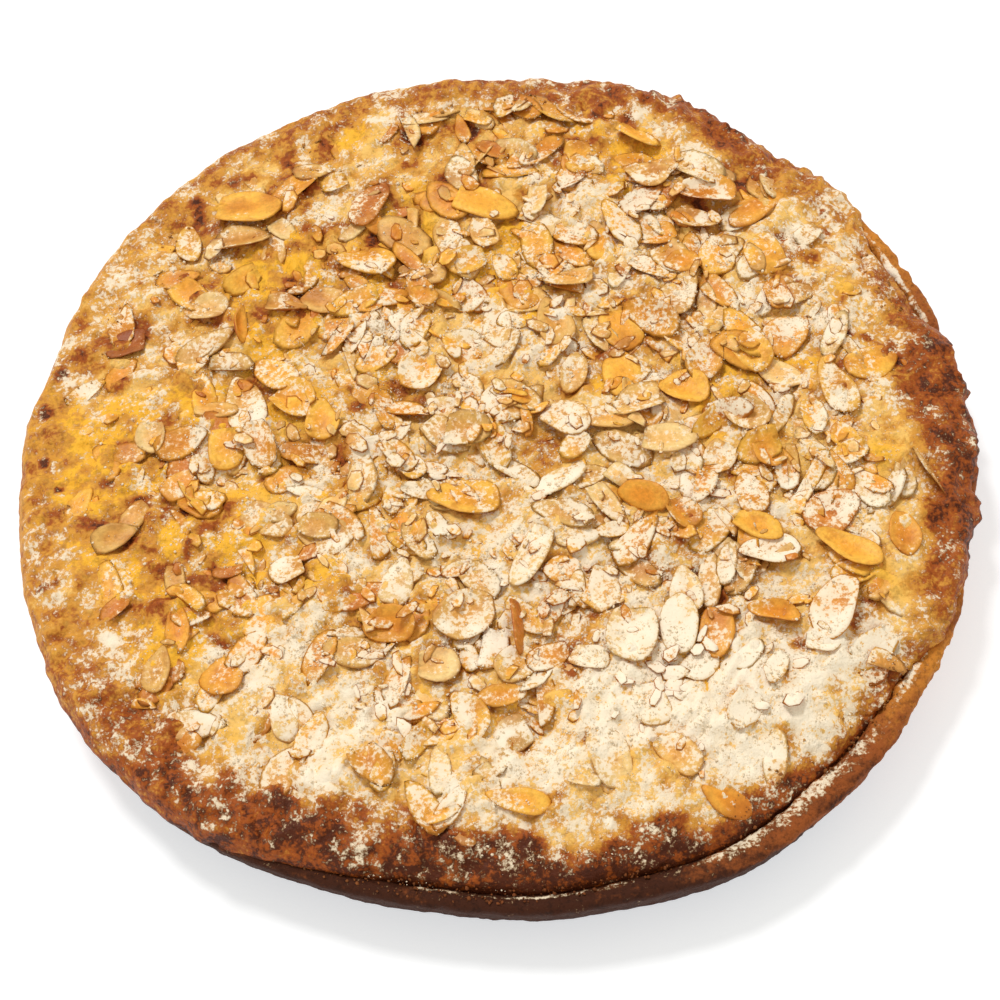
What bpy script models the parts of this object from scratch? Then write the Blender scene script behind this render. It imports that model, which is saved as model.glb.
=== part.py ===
"""A round almond tart: a turned shortcrust case, and a baked filling with flaked almonds on top.

The case is a shallow dish with a flared wall, a rounded rim and an outline that is not quite
round. The filling is one solid that stands proud of the rim, with a rounded shoulder and a
shallow groove between the two. The larger flaked almonds are thin curved slices that are
settled on the filling one after another and then joined to it.

Units are metres, +Z is up, the near side is -Y and the tart stands on z = 0.
"""

import math

import bmesh
import bpy
import numpy as np

MM = 0.001

# Case
TART_RADIUS = 120.0 * MM
FOOT_RADIUS = 114.0 * MM
RIM_HEIGHT = 20.2 * MM
RIM_WIDTH = 5.0 * MM
FLOOR_THICKNESS = 4.0 * MM
FLOOR_RADIUS = 109.0 * MM
RIM_WAVE = 0.5 * MM
# Direction and half-width in degrees, and how far the outline stands out there
OUTLINE_BULGES = (
    (27, 14, 1.6 * MM),
    (65, 11, 2.6 * MM),
    (118, 26, 2.0 * MM),
    (160, 6, -1.4 * MM),
    (214, 18, 2.2 * MM),
    (256, 23, -3.0 * MM),
    (300, 22, 2.7 * MM),
)
# The same for where the rim is wider or narrower than elsewhere
RIM_WIDTH_CHANGES = (
    (-52, 24, 2.6 * MM),
    (-12, 16, -1.4 * MM),
)

# Filling
CLEARANCE = 0.3 * MM
EDGE_INSET = RIM_WIDTH + 0.7 * MM
DOME_HEIGHT = 29.4 * MM
DOME_CROWN = 1.6 * MM
GROOVE_LEVEL = 16.8 * MM
FLUSH_LEVEL = 19.6 * MM
# Direction, half-width and fade in degrees of the side with a groove and of the steeper side
GROOVE_SIDE = (-82, 50, 28)
STEEP_SIDE = (-35, 95, 60)
LUMP_HEIGHT = 0.7 * MM
LUMP_LENGTH = 26.0 * MM
LUMP_SEED = 3

# Flaked almonds
FLAKE_THICKNESS = 1.3 * MM
FLAKE_SINK = 0.75 * MM
FLAKE_TAPER = 0.22
FLAKE_POINTS = 9
SCATTERED_FLAKES = 80
SCATTER_SPACING = 9.0 * MM
SCATTER_RADIUS = 104.0 * MM
DENSE_CENTRE = (8.0 * MM, 2.0 * MM)
DENSE_RADIUS = 70.0 * MM
DENSE_FADE = 32.0 * MM
SPARSE_SHARE = 0.15
CLEAR_OF_RIM = 1.2 * MM
STEEPEST_REST = 0.6
MAP_CELL = 1.5 * MM
FLAKE_SEED = 11

# The flakes that stand out most, from the far side to the near side. Each row is
# east, north, length and width in millimetres, then heading and lean in degrees.
# A positive lean raises the side to the left of the heading.
PLACED_FLAKES = (
    (-59, 81, 21, 11, 175, 12),
    (46, 79, 13, 9, 155, 6),
    (1, 75, 21, 10, 160, 6),
    (60, 72, 17, 9, 180, 10),
    (-83, 70, 12, 7, 20, 0),
    (73, 68, 19, 9, 35, -10),
    (-52, 68, 14, 7, 90, 0),
    (-7, 66, 15, 8, 105, 0),
    (55, 64, 14, 6, 165, 12),
    (32, 59, 10, 8, 90, 0),
    (73, 53, 16, 10, 110, 0),
    (52, 51, 10, 7, 180, 8),
    (-70, 50, 13, 8, 170, 8),
    (-51, 48, 11, 7, 170, 10),
    (-89, 43, 15, 8, 0, 0),
    (-62, 43, 10, 5, 85, 62),
    (76, 40, 10, 8, 25, -5),
    (18, 36, 13, 10, 100, 0),
    (59, 35, 11, 9, 45, 0),
    (34, 34, 17, 10, 110, 5),
    (-61, 20, 20, 10, 95, 0),
    (34, 19, 17, 10, 100, 0),
    (108, 16, 11, 5, 140, 10),
    (49, 14, 13, 10, 175, 8),
    (-42, 13, 11, 9, 90, 0),
    (-66, 9, 14, 10, 95, 5),
    (18, 8, 16, 10, 155, 8),
    (41, -1, 19, 9, 173, 10),
    (67, -7, 10, 8, 120, 28),
    (17, -9, 17, 8, 30, -16),
    (-8, -13, 18, 12, 180, 6),
    (36, -17, 14, 8, 148, -42),
    (62, -27, 15, 7, 150, 8),
    (-51, -28, 12, 9, 20, -12),
    (8, -29, 22, 8, 65, -8),
    (98, -31, 12, 8, 90, -8),
    (65, -34, 16, 8, 176, 14),
    (84, -35, 18, 8, 151, 10),
    (24, -39, 16, 8, 90, 0),
    (-10, -45, 17, 12, 35, 8),
    (-28, -46, 14, 9, 172, -30),
    (2, -48, 18, 6, 92, 60),
    (79, -50, 20, 10, 60, -12),
    (64, -51, 13, 6, 170, 8),
    (30, -52, 21, 12, 85, 0),
    (41, -52, 17, 9, 85, -8),
    (50, -54, 15, 9, 85, 0),
    (-69, -55, 13, 10, 50, -6),
    (-19, -58, 15, 9, 180, 8),
    (-55, -66, 15, 7, 85, 0),
    (32, -71, 14, 9, 100, 0),
    (-83, -70, 17, 9, 5, -8),
    (21, -84, 17, 11, 105, 0),
    (-1, -94, 15, 7, 165, 8),
    (48, -97, 14, 7, 145, 15),
)

SEGMENTS = 80
SHORTEST_EDGE = 0.01 * MM


def smooth_step(value):
    """0 up to 0, 1 from 1, and a smooth S between."""
    value = np.clip(value, 0.0, 1.0)
    return value * value * (3.0 - 2.0 * value)


def angle_from(angle, direction):
    """Signed turn from a direction in degrees to an angle in radians, within half a turn."""
    return (angle - math.radians(direction) + math.pi) % (2.0 * math.pi) - math.pi


def outline(angle):
    """Radius of the tart's edge by angle: a circle, its low bulges and a slight waviness."""
    radius = TART_RADIUS + 0.25 * MM * (np.sin(11.0 * angle + 1.0) + np.sin(17.0 * angle + 2.6))
    for direction, half_width, height in OUTLINE_BULGES:
        turn = angle_from(angle, direction) / math.radians(half_width)
        radius = radius + height * np.exp(-turn * turn)
    return radius


def rim_extra(angle):
    """How much wider than usual the rim is by angle, all of it on its inner side."""
    extra = np.zeros_like(angle)
    for direction, half_width, amount in RIM_WIDTH_CHANGES:
        turn = angle_from(angle, direction) / math.radians(half_width)
        extra = extra + amount * np.exp(-turn * turn)
    return extra


def rim_level(angle):
    """Height of the rim's top by angle."""
    return RIM_HEIGHT + RIM_WAVE * (0.6 * np.sin(5.0 * angle + 0.7) + 0.4 * np.sin(13.0 * angle))


def sector(angle, direction, half_width, fade):
    """1 within a half-width of a direction, fading to 0 past it; all but the angle in degrees."""
    turn = np.abs(angle_from(angle, direction))
    return 1.0 - smooth_step((turn - math.radians(half_width)) / math.radians(fade))


def filling_edge(angle):
    """Radius at which the filling meets the rim's inner side."""
    return outline(angle) - rim_extra(angle) - EDGE_INSET


def plane_waves(seed, length, count=14):
    """Wave vectors and phases of plane waves in random directions, all of about one length."""
    rng = np.random.default_rng(seed)
    heading = rng.uniform(0.0, 2.0 * np.pi, count)
    number = 2.0 * np.pi / (length * rng.uniform(0.75, 1.35, count))
    phase = rng.uniform(0.0, 2.0 * np.pi, count)
    return number * np.cos(heading), number * np.sin(heading), phase


def relief(x, y, waves):
    """Sum of plane waves, scaled so that its usual size is 1."""
    east, north, phase = waves
    angle = x[..., None] * east + y[..., None] * north + phase
    return np.cos(angle).sum(axis=-1) * math.sqrt(2.0 / len(phase))


def filling_top(x, y):
    """Height of the filling's top: a superellipse shoulder, a low crown and soft lumps.

    On the near side it starts down in a groove, elsewhere flush with the rim, and its
    shoulder is steeper on the near and right sides than on the far and left ones.
    """
    angle = np.arctan2(y, x)
    fraction = np.clip(np.hypot(x, y) / filling_edge(angle), 0.0, 1.0)
    edge = FLUSH_LEVEL + (GROOVE_LEVEL - FLUSH_LEVEL) * sector(angle, *GROOVE_SIDE)
    power = 5.0 + 3.5 * sector(angle, *STEEP_SIDE)
    shoulder = np.sqrt(1.0 - fraction**power)
    lumps = LUMP_HEIGHT * relief(x, y, plane_waves(LUMP_SEED, LUMP_LENGTH))
    crown = DOME_HEIGHT + DOME_CROWN * (1.0 - fraction**2) + lumps
    return edge + (crown - edge) * shoulder


def support_height(x, y):
    """What a flake rests on: the filling, and past its edge a level just over the rim."""
    angle = np.arctan2(y, x)
    beyond = np.hypot(x, y) > filling_edge(angle)
    return np.where(beyond, rim_level(angle) + CLEAR_OF_RIM, filling_top(x, y))


def flake_share(x, y):
    """Share of the scattered flakes kept by place: all over the middle, few near the edge."""
    distance = np.hypot(x - DENSE_CENTRE[0], y - DENSE_CENTRE[1])
    return 1.0 - (1.0 - SPARSE_SHARE) * smooth_step((distance - DENSE_RADIUS) / DENSE_FADE)


def scattered_flakes(rng):
    """Places, sizes and headings of the other large flakes, spread evenly by drawing and spacing."""
    taken = [(east * MM, north * MM) for east, north, *_ in PLACED_FLAKES]
    rows = []
    while len(rows) < SCATTERED_FLAKES:
        x, y = rng.uniform(-SCATTER_RADIUS, SCATTER_RADIUS, 2)
        length = rng.uniform(10.0, 16.5) * MM
        width = length * rng.uniform(0.5, 0.68)
        heading = rng.uniform(0.0, 180.0)
        lean = rng.normal(0.0, 6.0)
        keep = rng.random() < flake_share(x, y) and math.hypot(x, y) < SCATTER_RADIUS
        if keep and min(math.dist((x, y), place) for place in taken) > SCATTER_SPACING:
            taken.append((x, y))
            rows.append((x, y, length, width, heading, lean))
    return rows


def placed_flakes():
    """The flakes of the list above, in metres and degrees."""
    return [(*(size * MM for size in row[:4]), *row[4:]) for row in PLACED_FLAKES]


def settle(rows):
    """Lay flakes down in turn on a height map of the top, and return each one's centre and axes.

    A flake takes the slope of the best plane through the heights under it, touches the highest
    of them, sinks in a little, and raises the map for the next. Leaning then lifts one side
    about the other, which stays where it was.
    """
    axis = np.arange(-TART_RADIUS, TART_RADIUS + MAP_CELL, MAP_CELL)
    grid_x, grid_y = np.meshgrid(axis, axis, indexing="ij")
    height = support_height(grid_x, grid_y)
    poses = []
    for x, y, length, width, heading, lean in rows:
        turn = math.radians(heading)
        east = grid_x - x
        north = grid_y - y
        along = (east * math.cos(turn) + north * math.sin(turn)) / (0.5 * length)
        across = (north * math.cos(turn) - east * math.sin(turn)) / (0.5 * width)
        under = along**2 + across**2 < 0.9**2
        spots = np.column_stack([east[under], north[under], np.ones(under.sum())])
        slope = np.linalg.lstsq(spots, height[under], rcond=None)[0][:2]
        slope = slope / max(1.0, math.hypot(*slope) / STEEPEST_REST)
        plane = spots[:, :2] @ slope
        base = (height[under] - plane).max() - FLAKE_SINK
        height[under] = np.maximum(height[under], plane + base + FLAKE_THICKNESS)
        normal = np.array([-slope[0], -slope[1], 1.0])
        normal /= np.linalg.norm(normal)
        long_axis = np.array([math.cos(turn), math.sin(turn), 0.0])
        long_axis -= normal * (long_axis @ normal)
        long_axis /= np.linalg.norm(long_axis)
        side_axis = np.cross(normal, long_axis)
        tilt = math.radians(lean)
        leaning_side = side_axis * math.cos(tilt) + normal * math.sin(tilt)
        leaning_up = normal * math.cos(tilt) - side_axis * math.sin(tilt)
        lift = 0.35 * width * abs(math.sin(tilt))
        centre = np.array([x, y, base + 0.5 * FLAKE_THICKNESS]) + normal * lift
        poses.append((centre, long_axis, leaning_side, leaning_up))
    return poses


def add_flake(name, pose, length, width, bend, material, collection):
    """One almond flake: a tapered oval slice, slightly cupped, as a top, a bottom and a rim of quads."""
    turn = (np.arange(FLAKE_POINTS) + 0.25) * 2.0 * np.pi / FLAKE_POINTS
    along = np.append(0.5 * length * np.cos(turn), 0.0)
    across = np.append(0.5 * width * np.sin(turn) * (1.0 - FLAKE_TAPER * np.cos(turn)), 0.0)
    cup = np.append(np.full(FLAKE_POINTS, bend), 0.0)
    centre, long_axis, side_axis, normal = pose
    flat = centre + np.outer(along, long_axis) + np.outer(across, side_axis) + np.outer(cup, normal)
    half = 0.5 * FLAKE_THICKNESS * normal
    bm = bmesh.new()
    top = [bm.verts.new(point) for point in flat + half]
    bottom = [bm.verts.new(point) for point in flat - half]
    for i in range(FLAKE_POINTS):
        j = (i + 1) % FLAKE_POINTS
        bm.faces.new((top[i], top[j], top[-1]))
        bm.faces.new((bottom[j], bottom[i], bottom[-1]))
        bm.faces.new((bottom[i], bottom[j], top[j], top[i]))
    mesh = bpy.data.meshes.new(name)
    bm.to_mesh(mesh)
    bm.free()
    mesh.materials.append(material)
    collection.objects.link(bpy.data.objects.new(name, mesh))


def turned_mesh(profile):
    """A closed shape turned about Z from (radius, height) points that start and end on the axis."""
    bm = bmesh.new()
    points = [bm.verts.new((radius, 0.0, height)) for radius, height in profile]
    edges = [bm.edges.new(pair) for pair in zip(points, points[1:])]
    bmesh.ops.spin(
        bm, geom=points + edges, cent=(0, 0, 0), axis=(0, 0, 1), angle=2.0 * math.pi, steps=SEGMENTS
    )
    bmesh.ops.remove_doubles(bm, verts=bm.verts, dist=SHORTEST_EDGE)
    bmesh.ops.recalc_face_normals(bm, faces=bm.faces)
    return bm


def shift_to_outline(bm, inside):
    """Move each vertex out or in by what the outline differs from a circle, none of it near the axis.

    A vertex for which inside(radius, height) holds also moves with the rim's inner side.
    """
    for vert in bm.verts:
        radius = math.hypot(vert.co.x, vert.co.y)
        angle = np.array(math.atan2(vert.co.y, vert.co.x))
        share = float(smooth_step((radius - 60.0 * MM) / (40.0 * MM)))
        shift = float(outline(angle)) - TART_RADIUS
        if inside(radius, vert.co.z):
            shift -= float(rim_extra(angle))
        new_radius = radius + share * shift
        vert.co.x = new_radius * math.cos(angle)
        vert.co.y = new_radius * math.sin(angle)


def finished(name, bm, material):
    """Turn a bmesh into a smooth-shaded object in the scene."""
    bmesh.ops.triangulate(bm, faces=bm.faces)
    mesh = bpy.data.meshes.new(name)
    bm.to_mesh(mesh)
    bm.free()
    mesh.materials.append(material)
    mesh.shade_smooth()
    mesh.set_sharp_from_angle(angle=math.radians(40))
    obj = bpy.data.objects.new(name, mesh)
    bpy.context.scene.collection.objects.link(obj)
    return obj


def plain_material(name, colour, roughness):
    """A Principled material of one colour."""
    material = bpy.data.materials.new(name)
    material.use_nodes = True
    shader = material.node_tree.nodes["Principled BSDF"]
    shader.inputs["Base Color"].default_value = (*colour, 1.0)
    shader.inputs["Roughness"].default_value = roughness
    shader.inputs["Metallic"].default_value = 0.0
    return material


def pastry_case():
    """The shortcrust dish: foot, flared wall, rounded rim, inner wall and floor."""
    rim_outer = TART_RADIUS
    rim_inner = TART_RADIUS - RIM_WIDTH
    profile = [
        (0.0, 0.0),
        (FOOT_RADIUS - 1.4 * MM, 0.0),
        (FOOT_RADIUS, 1.0 * MM),
        (FOOT_RADIUS + 2.3 * MM, 6.0 * MM),
        (rim_outer - 2.0 * MM, 12.0 * MM),
        (rim_outer - 0.4 * MM, 16.6 * MM),
        (rim_outer, RIM_HEIGHT - 2.0 * MM),
        (rim_outer - 0.5 * MM, RIM_HEIGHT - 0.7 * MM),
        (rim_outer - 1.9 * MM, RIM_HEIGHT),
        (rim_inner + 1.2 * MM, RIM_HEIGHT - 0.3 * MM),
        (rim_inner + 0.1 * MM, RIM_HEIGHT - 1.6 * MM),
        (rim_inner - 0.4 * MM, 17.0 * MM),
        (rim_inner - 0.8 * MM, 13.0 * MM),
        (FLOOR_RADIUS + 2.5 * MM, 6.0 * MM),
        (FLOOR_RADIUS, FLOOR_THICKNESS),
        (0.0, FLOOR_THICKNESS),
    ]
    bm = turned_mesh(profile)
    for vert in bm.verts:
        angle = math.atan2(vert.co.y, vert.co.x)
        share = float(smooth_step((vert.co.z - 12.0 * MM) / (6.0 * MM)))
        vert.co.z += share * (float(rim_level(angle)) - RIM_HEIGHT)
    flare = (TART_RADIUS - FOOT_RADIUS) / RIM_HEIGHT
    shift_to_outline(
        bm,
        lambda radius, height: height > 0.9 * FLOOR_THICKNESS
        and radius < FOOT_RADIUS + flare * height - 2.0 * MM,
    )
    return finished("pastry_case", bm, plain_material("Baked pastry", (0.42, 0.19, 0.065), 0.75))


def filling_body(material):
    """The filling without its flakes: it follows the case's inside and is shaped on top."""
    edge_radius = TART_RADIUS - EDGE_INSET
    bottom = FLOOR_THICKNESS + CLEARANCE
    sides = [
        (0.0, bottom),
        (FLOOR_RADIUS - 0.4 * MM, bottom),
        (FLOOR_RADIUS + 2.1 * MM, 6.2 * MM),
        (edge_radius - 0.45 * MM, 13.1 * MM),
    ]
    fractions = (1.0, 0.993, 0.975, 0.945, 0.9, 0.84, 0.76, 0.66, 0.55, 0.43, 0.3, 0.15, 0.0)
    top = [(edge_radius * fraction, DOME_HEIGHT) for fraction in fractions]
    bm = turned_mesh(sides + top)
    shift_to_outline(bm, lambda radius, height: True)
    for vert in bm.verts:
        if vert.co.z > RIM_HEIGHT:
            vert.co.z = float(filling_top(np.array(vert.co.x), np.array(vert.co.y)))
    return finished("almond_filling", bm, material)


def join_flakes(body, flakes):
    """Join a collection of flakes to the filling and keep the outer skin alone."""
    union = body.modifiers.new("Join flakes", "BOOLEAN")
    union.operation = "UNION"
    union.operand_type = "COLLECTION"
    union.collection = flakes
    union.solver = "EXACT"
    bpy.context.view_layer.update()
    joined = bpy.data.meshes.new_from_object(body.evaluated_get(bpy.context.evaluated_depsgraph_get()))
    body.modifiers.clear()
    body.data = joined
    for flake in list(flakes.objects):
        bpy.data.objects.remove(flake)
    bpy.data.collections.remove(flakes)
    keep_largest_shell(joined)


def keep_largest_shell(mesh):
    """Drop every shell but the largest, so that sealed hollows are filled and scraps are gone."""
    bm = bmesh.new()
    bm.from_mesh(mesh)
    bmesh.ops.triangulate(bm, faces=bm.faces)
    bmesh.ops.dissolve_degenerate(bm, edges=bm.edges, dist=SHORTEST_EDGE)
    bmesh.ops.triangulate(bm, faces=bm.faces)
    waiting = set(bm.faces)
    shells = []
    while waiting:
        shell = set()
        front = [waiting.pop()]
        while front:
            face = front.pop()
            shell.add(face)
            near = {other for edge in face.edges for other in edge.link_faces} & waiting
            waiting -= near
            front.extend(near)
        shells.append(shell)
    largest = max(shells, key=len)
    loose = [face for shell in shells if shell is not largest for face in shell]
    bmesh.ops.delete(bm, geom=loose, context="FACES")
    bm.to_mesh(mesh)
    bm.free()
    mesh.shade_smooth()
    mesh.set_sharp_from_angle(angle=math.radians(40))


def almond_filling():
    """The filling with its large flakes fused on."""
    rng = np.random.default_rng(FLAKE_SEED)
    rows = scattered_flakes(rng) + placed_flakes()
    bends = rng.uniform(0.2, 1.2, len(rows)) * MM
    crust = plain_material("Baked almond filling", (0.72, 0.45, 0.17), 0.7)
    body = filling_body(crust)
    flakes = bpy.data.collections.new("Flakes")
    bpy.context.scene.collection.children.link(flakes)
    for number, (row, pose, bend) in enumerate(zip(rows, settle(rows), bends)):
        add_flake(f"flake_{number}", pose, row[2], row[3], bend, crust, flakes)
    join_flakes(body, flakes)
    return body


def centre_on_origin(objects):
    """Move the meshes so that the middle of the tart's box is over the origin."""
    points = np.array([vert.co[:] for obj in objects for vert in obj.data.vertices])
    middle = 0.5 * (points.min(axis=0) + points.max(axis=0))
    for obj in objects:
        for vert in obj.data.vertices:
            vert.co.x -= middle[0]
            vert.co.y -= middle[1]


for old in list(bpy.data.objects):
    bpy.data.objects.remove(old)

centre_on_origin([pastry_case(), almond_filling()])
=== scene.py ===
"""Looks of a round almond tart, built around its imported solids.

The shortcrust case and the filling get their fine baked surfaces. Flaked almonds, almond bits,
crumbs and dusted sugar lie on the filling as real shapes. Lengths are metres, +Z is up and the
near side is -Y.
"""

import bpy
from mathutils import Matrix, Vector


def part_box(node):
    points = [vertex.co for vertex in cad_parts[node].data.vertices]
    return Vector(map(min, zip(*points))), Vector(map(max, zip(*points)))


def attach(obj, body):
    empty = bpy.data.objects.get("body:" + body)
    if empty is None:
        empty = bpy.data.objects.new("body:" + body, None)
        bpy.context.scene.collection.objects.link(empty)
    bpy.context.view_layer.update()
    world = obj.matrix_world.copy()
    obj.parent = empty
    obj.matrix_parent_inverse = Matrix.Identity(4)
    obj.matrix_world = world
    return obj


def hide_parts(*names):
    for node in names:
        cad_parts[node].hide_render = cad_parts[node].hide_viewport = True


bl_info = {
    "name": "Almond Tart",
    "version": (1, 0, 0),
    "blender": (4, 5, 0),
    "location": "View3D > Sidebar > Almond Tart",
    "description": "Builds the crust, filling, flaked almonds, crumbs and sugar of an almond tart",
    "category": "Add Mesh",
}

import functools
import math

import bpy
import numpy as np
from bpy.props import FloatProperty, FloatVectorProperty, IntProperty, PointerProperty
from mathutils import Matrix, Vector

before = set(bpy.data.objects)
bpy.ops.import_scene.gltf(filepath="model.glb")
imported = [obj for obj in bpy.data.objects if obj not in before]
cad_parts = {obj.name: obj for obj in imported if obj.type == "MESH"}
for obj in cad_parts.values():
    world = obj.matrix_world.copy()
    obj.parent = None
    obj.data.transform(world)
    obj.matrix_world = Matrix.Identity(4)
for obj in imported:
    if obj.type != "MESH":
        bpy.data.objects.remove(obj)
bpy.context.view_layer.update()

MM = 0.001

# The case and its outline, as in the solids
TART_RADIUS = 120.0 * MM
FOOT_RADIUS = 114.0 * MM
RIM_HEIGHT = 20.2 * MM
RIM_WIDTH = 5.0 * MM
FLOOR_THICKNESS = 4.0 * MM
FLOOR_RADIUS = 109.0 * MM
RIM_WAVE = 0.5 * MM
# Direction and half-width in degrees, and how far the outline stands out there
OUTLINE_BULGES = (
    (27, 14, 1.6 * MM), (65, 11, 2.6 * MM), (118, 26, 2.0 * MM), (160, 6, -1.4 * MM),
    (214, 18, 2.2 * MM), (256, 23, -3.0 * MM), (300, 22, 2.7 * MM),
)
# The same for where the rim is wider or narrower than elsewhere
RIM_WIDTH_CHANGES = (
    (-52, 24, 2.6 * MM),
    (-12, 16, -1.4 * MM),
)
# Points round the outline of the solids
SOLID_SEGMENTS = 80

# The filling, as in the solids
CLEARANCE = 0.3 * MM
EDGE_INSET = RIM_WIDTH + 0.7 * MM
DOME_HEIGHT = 29.4 * MM
DOME_CROWN = 1.6 * MM
GROOVE_LEVEL = 16.8 * MM
FLUSH_LEVEL = 19.6 * MM
GROOVE_SIDE = (-82, 50, 28)
STEEP_SIDE = (-35, 95, 60)
LUMP_HEIGHT = 0.7 * MM
LUMP_LENGTH = 26.0 * MM
LUMP_SEED = 3

# The large flaked almonds, as in the solids
FLAKE_THICKNESS = 1.3 * MM
FLAKE_SINK = 0.75 * MM
FLAKE_TAPER = 0.22
SCATTERED_FLAKES = 80
SCATTER_SPACING = 9.0 * MM
SCATTER_RADIUS = 104.0 * MM
DENSE_CENTRE = (8.0 * MM, 2.0 * MM)
DENSE_RADIUS = 70.0 * MM
DENSE_FADE = 32.0 * MM
SPARSE_SHARE = 0.15
CLEAR_OF_RIM = 1.2 * MM
STEEPEST_REST = 0.6
UNDER_FLAKE = 0.9
LEAN_LIFT = 0.35
MAP_CELL = 1.5 * MM
FLAKE_SEED = 11

# East, north, length and width in millimetres, heading and lean in degrees, as in the solids,
# then the flake's tone and how much of it is dusted
PLACED_FLAKES = (
    (-59, 81, 21, 11, 175, 12, "yellow", 0.05), (46, 79, 13, 9, 155, 6, "cream", 0.6),
    (1, 75, 21, 10, 160, 6, "yellow", 0.15), (60, 72, 17, 9, 180, 10, "golden", 0.35),
    (-83, 70, 12, 7, 20, 0, "yellow", 0.1), (73, 68, 19, 9, 35, -10, "golden", 0.3),
    (-52, 68, 14, 7, 90, 0, "cream", 0.6), (-7, 66, 15, 8, 105, 0, "cream", 0.75),
    (55, 64, 14, 6, 165, 12, "cream", 0.4), (32, 59, 10, 8, 90, 0, "yellow", 0.3),
    (73, 53, 16, 10, 110, 0, "yellow", 0.4), (52, 51, 10, 7, 180, 8, "golden", 0.3),
    (-70, 50, 13, 8, 170, 8, "pale", 0.5), (-51, 48, 11, 7, 170, 10, "cream", 0.6),
    (-89, 43, 15, 8, 0, 0, "toasted", 0.15), (-62, 43, 10, 5, 85, 62, "golden", 0.0),
    (76, 40, 10, 8, 25, -5, "golden", 0.5), (18, 36, 13, 10, 100, 0, "cream", 0.3),
    (59, 35, 11, 9, 45, 0, "pale", 0.5), (34, 34, 17, 10, 110, 5, "yellow", 0.15),
    (-61, 20, 20, 10, 95, 0, "cream", 0.7), (34, 19, 17, 10, 100, 0, "yellow", 0.05),
    (108, 16, 11, 5, 140, 10, "golden", 0.05), (49, 14, 13, 10, 175, 8, "yellow", 0.05),
    (-42, 13, 11, 9, 90, 0, "yellow", 0.2), (-66, 9, 14, 10, 95, 5, "yellow", 0.3),
    (18, 8, 16, 10, 155, 8, "cream", 0.8), (41, -1, 19, 9, 173, 10, "pale", 0.4),
    (67, -7, 10, 8, 120, 28, "golden", 0.15), (17, -9, 17, 8, 30, -16, "pale", 0.75),
    (-8, -13, 18, 12, 180, 6, "yellow", 0.4), (36, -17, 14, 8, 148, -42, "golden", 0.15),
    (62, -27, 15, 7, 150, 8, "yellow", 0.1), (-51, -28, 12, 9, 20, -12, "cream", 0.4),
    (8, -29, 22, 8, 65, -8, "pale", 0.9), (98, -31, 12, 8, 90, -8, "golden", 0.3),
    (65, -34, 16, 8, 176, 14, "cream", 0.75), (84, -35, 18, 8, 151, 10, "yellow", 0.05),
    (24, -39, 16, 8, 90, 0, "cream", 0.7), (-10, -45, 17, 12, 35, 8, "cream", 0.6),
    (-28, -46, 14, 9, 172, -30, "golden", 0.2), (2, -48, 18, 6, 92, 60, "orange", 0.35),
    (79, -50, 20, 10, 60, -12, "golden", 0.55), (64, -51, 13, 6, 170, 8, "golden", 0.35),
    (30, -52, 21, 12, 85, 0, "pale", 0.95), (41, -52, 17, 9, 85, -8, "pale", 0.9),
    (50, -54, 15, 9, 85, 0, "golden", 0.5), (-69, -55, 13, 10, 50, -6, "golden", 0.4),
    (-19, -58, 15, 9, 180, 8, "pale", 0.3), (-55, -66, 15, 7, 85, 0, "pale", 0.9),
    (32, -71, 14, 9, 100, 0, "pale", 0.9), (-83, -70, 17, 9, 5, -8, "golden", 0.0),
    (21, -84, 17, 11, 105, 0, "pale", 0.95), (-1, -94, 15, 7, 165, 8, "yellow", 0.4),
    (48, -97, 14, 7, 145, 15, "golden", 0.0),
)

# Screen colours of the almonds, from the palest to the most toasted
ALMOND_TONES = {
    "pale": (246, 212, 144),
    "cream": (236, 188, 106),
    "yellow": (250, 192, 76),
    "golden": (238, 170, 64),
    "orange": (216, 140, 52),
    "toasted": (178, 108, 50),
}
# Screen colours of sugar where it lies thick and where it has soaked up some of the crust below
SUGAR_COLOUR = (244, 228, 202)
THIN_SUGAR_COLOUR = (232, 196, 146)
THICK_SUGAR_COLOUR = (251, 240, 220)
# Share of each tone among the scattered almonds, on the tan side and on the golden side
TAN_SHARES = (0.22, 0.32, 0.24, 0.18, 0.04, 0.0)
GOLD_SHARES = (0.05, 0.22, 0.37, 0.29, 0.07, 0.0)

# How brown the filling's border is, partly real browning and partly painted shade on the sides away from
# the key light: direction in degrees, level from 0 to 1, width in mm
BORDER_TOAST_AND_SHADE = (
    (-110, 0.95, 16), (-90, 1.0, 14), (-62, 0.94, 12), (-45, 0.86, 9), (-30, 0.55, 8),
    (-15, 0.84, 12), (6, 0.86, 14), (20, 0.7, 12), (34, 0.5, 9), (54, 0.82, 12), (78, 0.7, 12),
    (100, 0.62, 10), (125, 0.6, 9), (150, 0.44, 8), (172, 0.5, 7), (195, 0.52, 8), (212, 0.74, 17),
    (235, 0.88, 17),
)

# Where the filling is more golden than tan: east, north and radius in mm, then the amount
GOLDEN_PATCHES = (
    (-100, 8, 42, 1.0), (-62, 2, 34, 0.8), (-58, 62, 24, 0.9), (-30, 50, 26, 0.75),
    (-5, 62, 22, 0.6), (-85, -30, 30, 0.9), (30, 88, 20, 0.5), (-70, -72, 22, 0.6),
    (62, 20, 22, 0.45), (85, -32, 18, 0.5), (-25, -40, 20, 0.4),
)

# Where the filling is darker than around it: east, north and radius in mm, then the amount
DARKER_PATCHES = (
    (-88, 48, 34, 0.9), (-55, 80, 36, 0.9), (-8, 88, 38, 0.9), (40, 92, 26, 0.5), (80, 70, 30, 0.7),
    (-112, -20, 24, 0.5), (92, 0, 26, 0.5), (97, -34, 20, 0.7),
)

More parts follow.
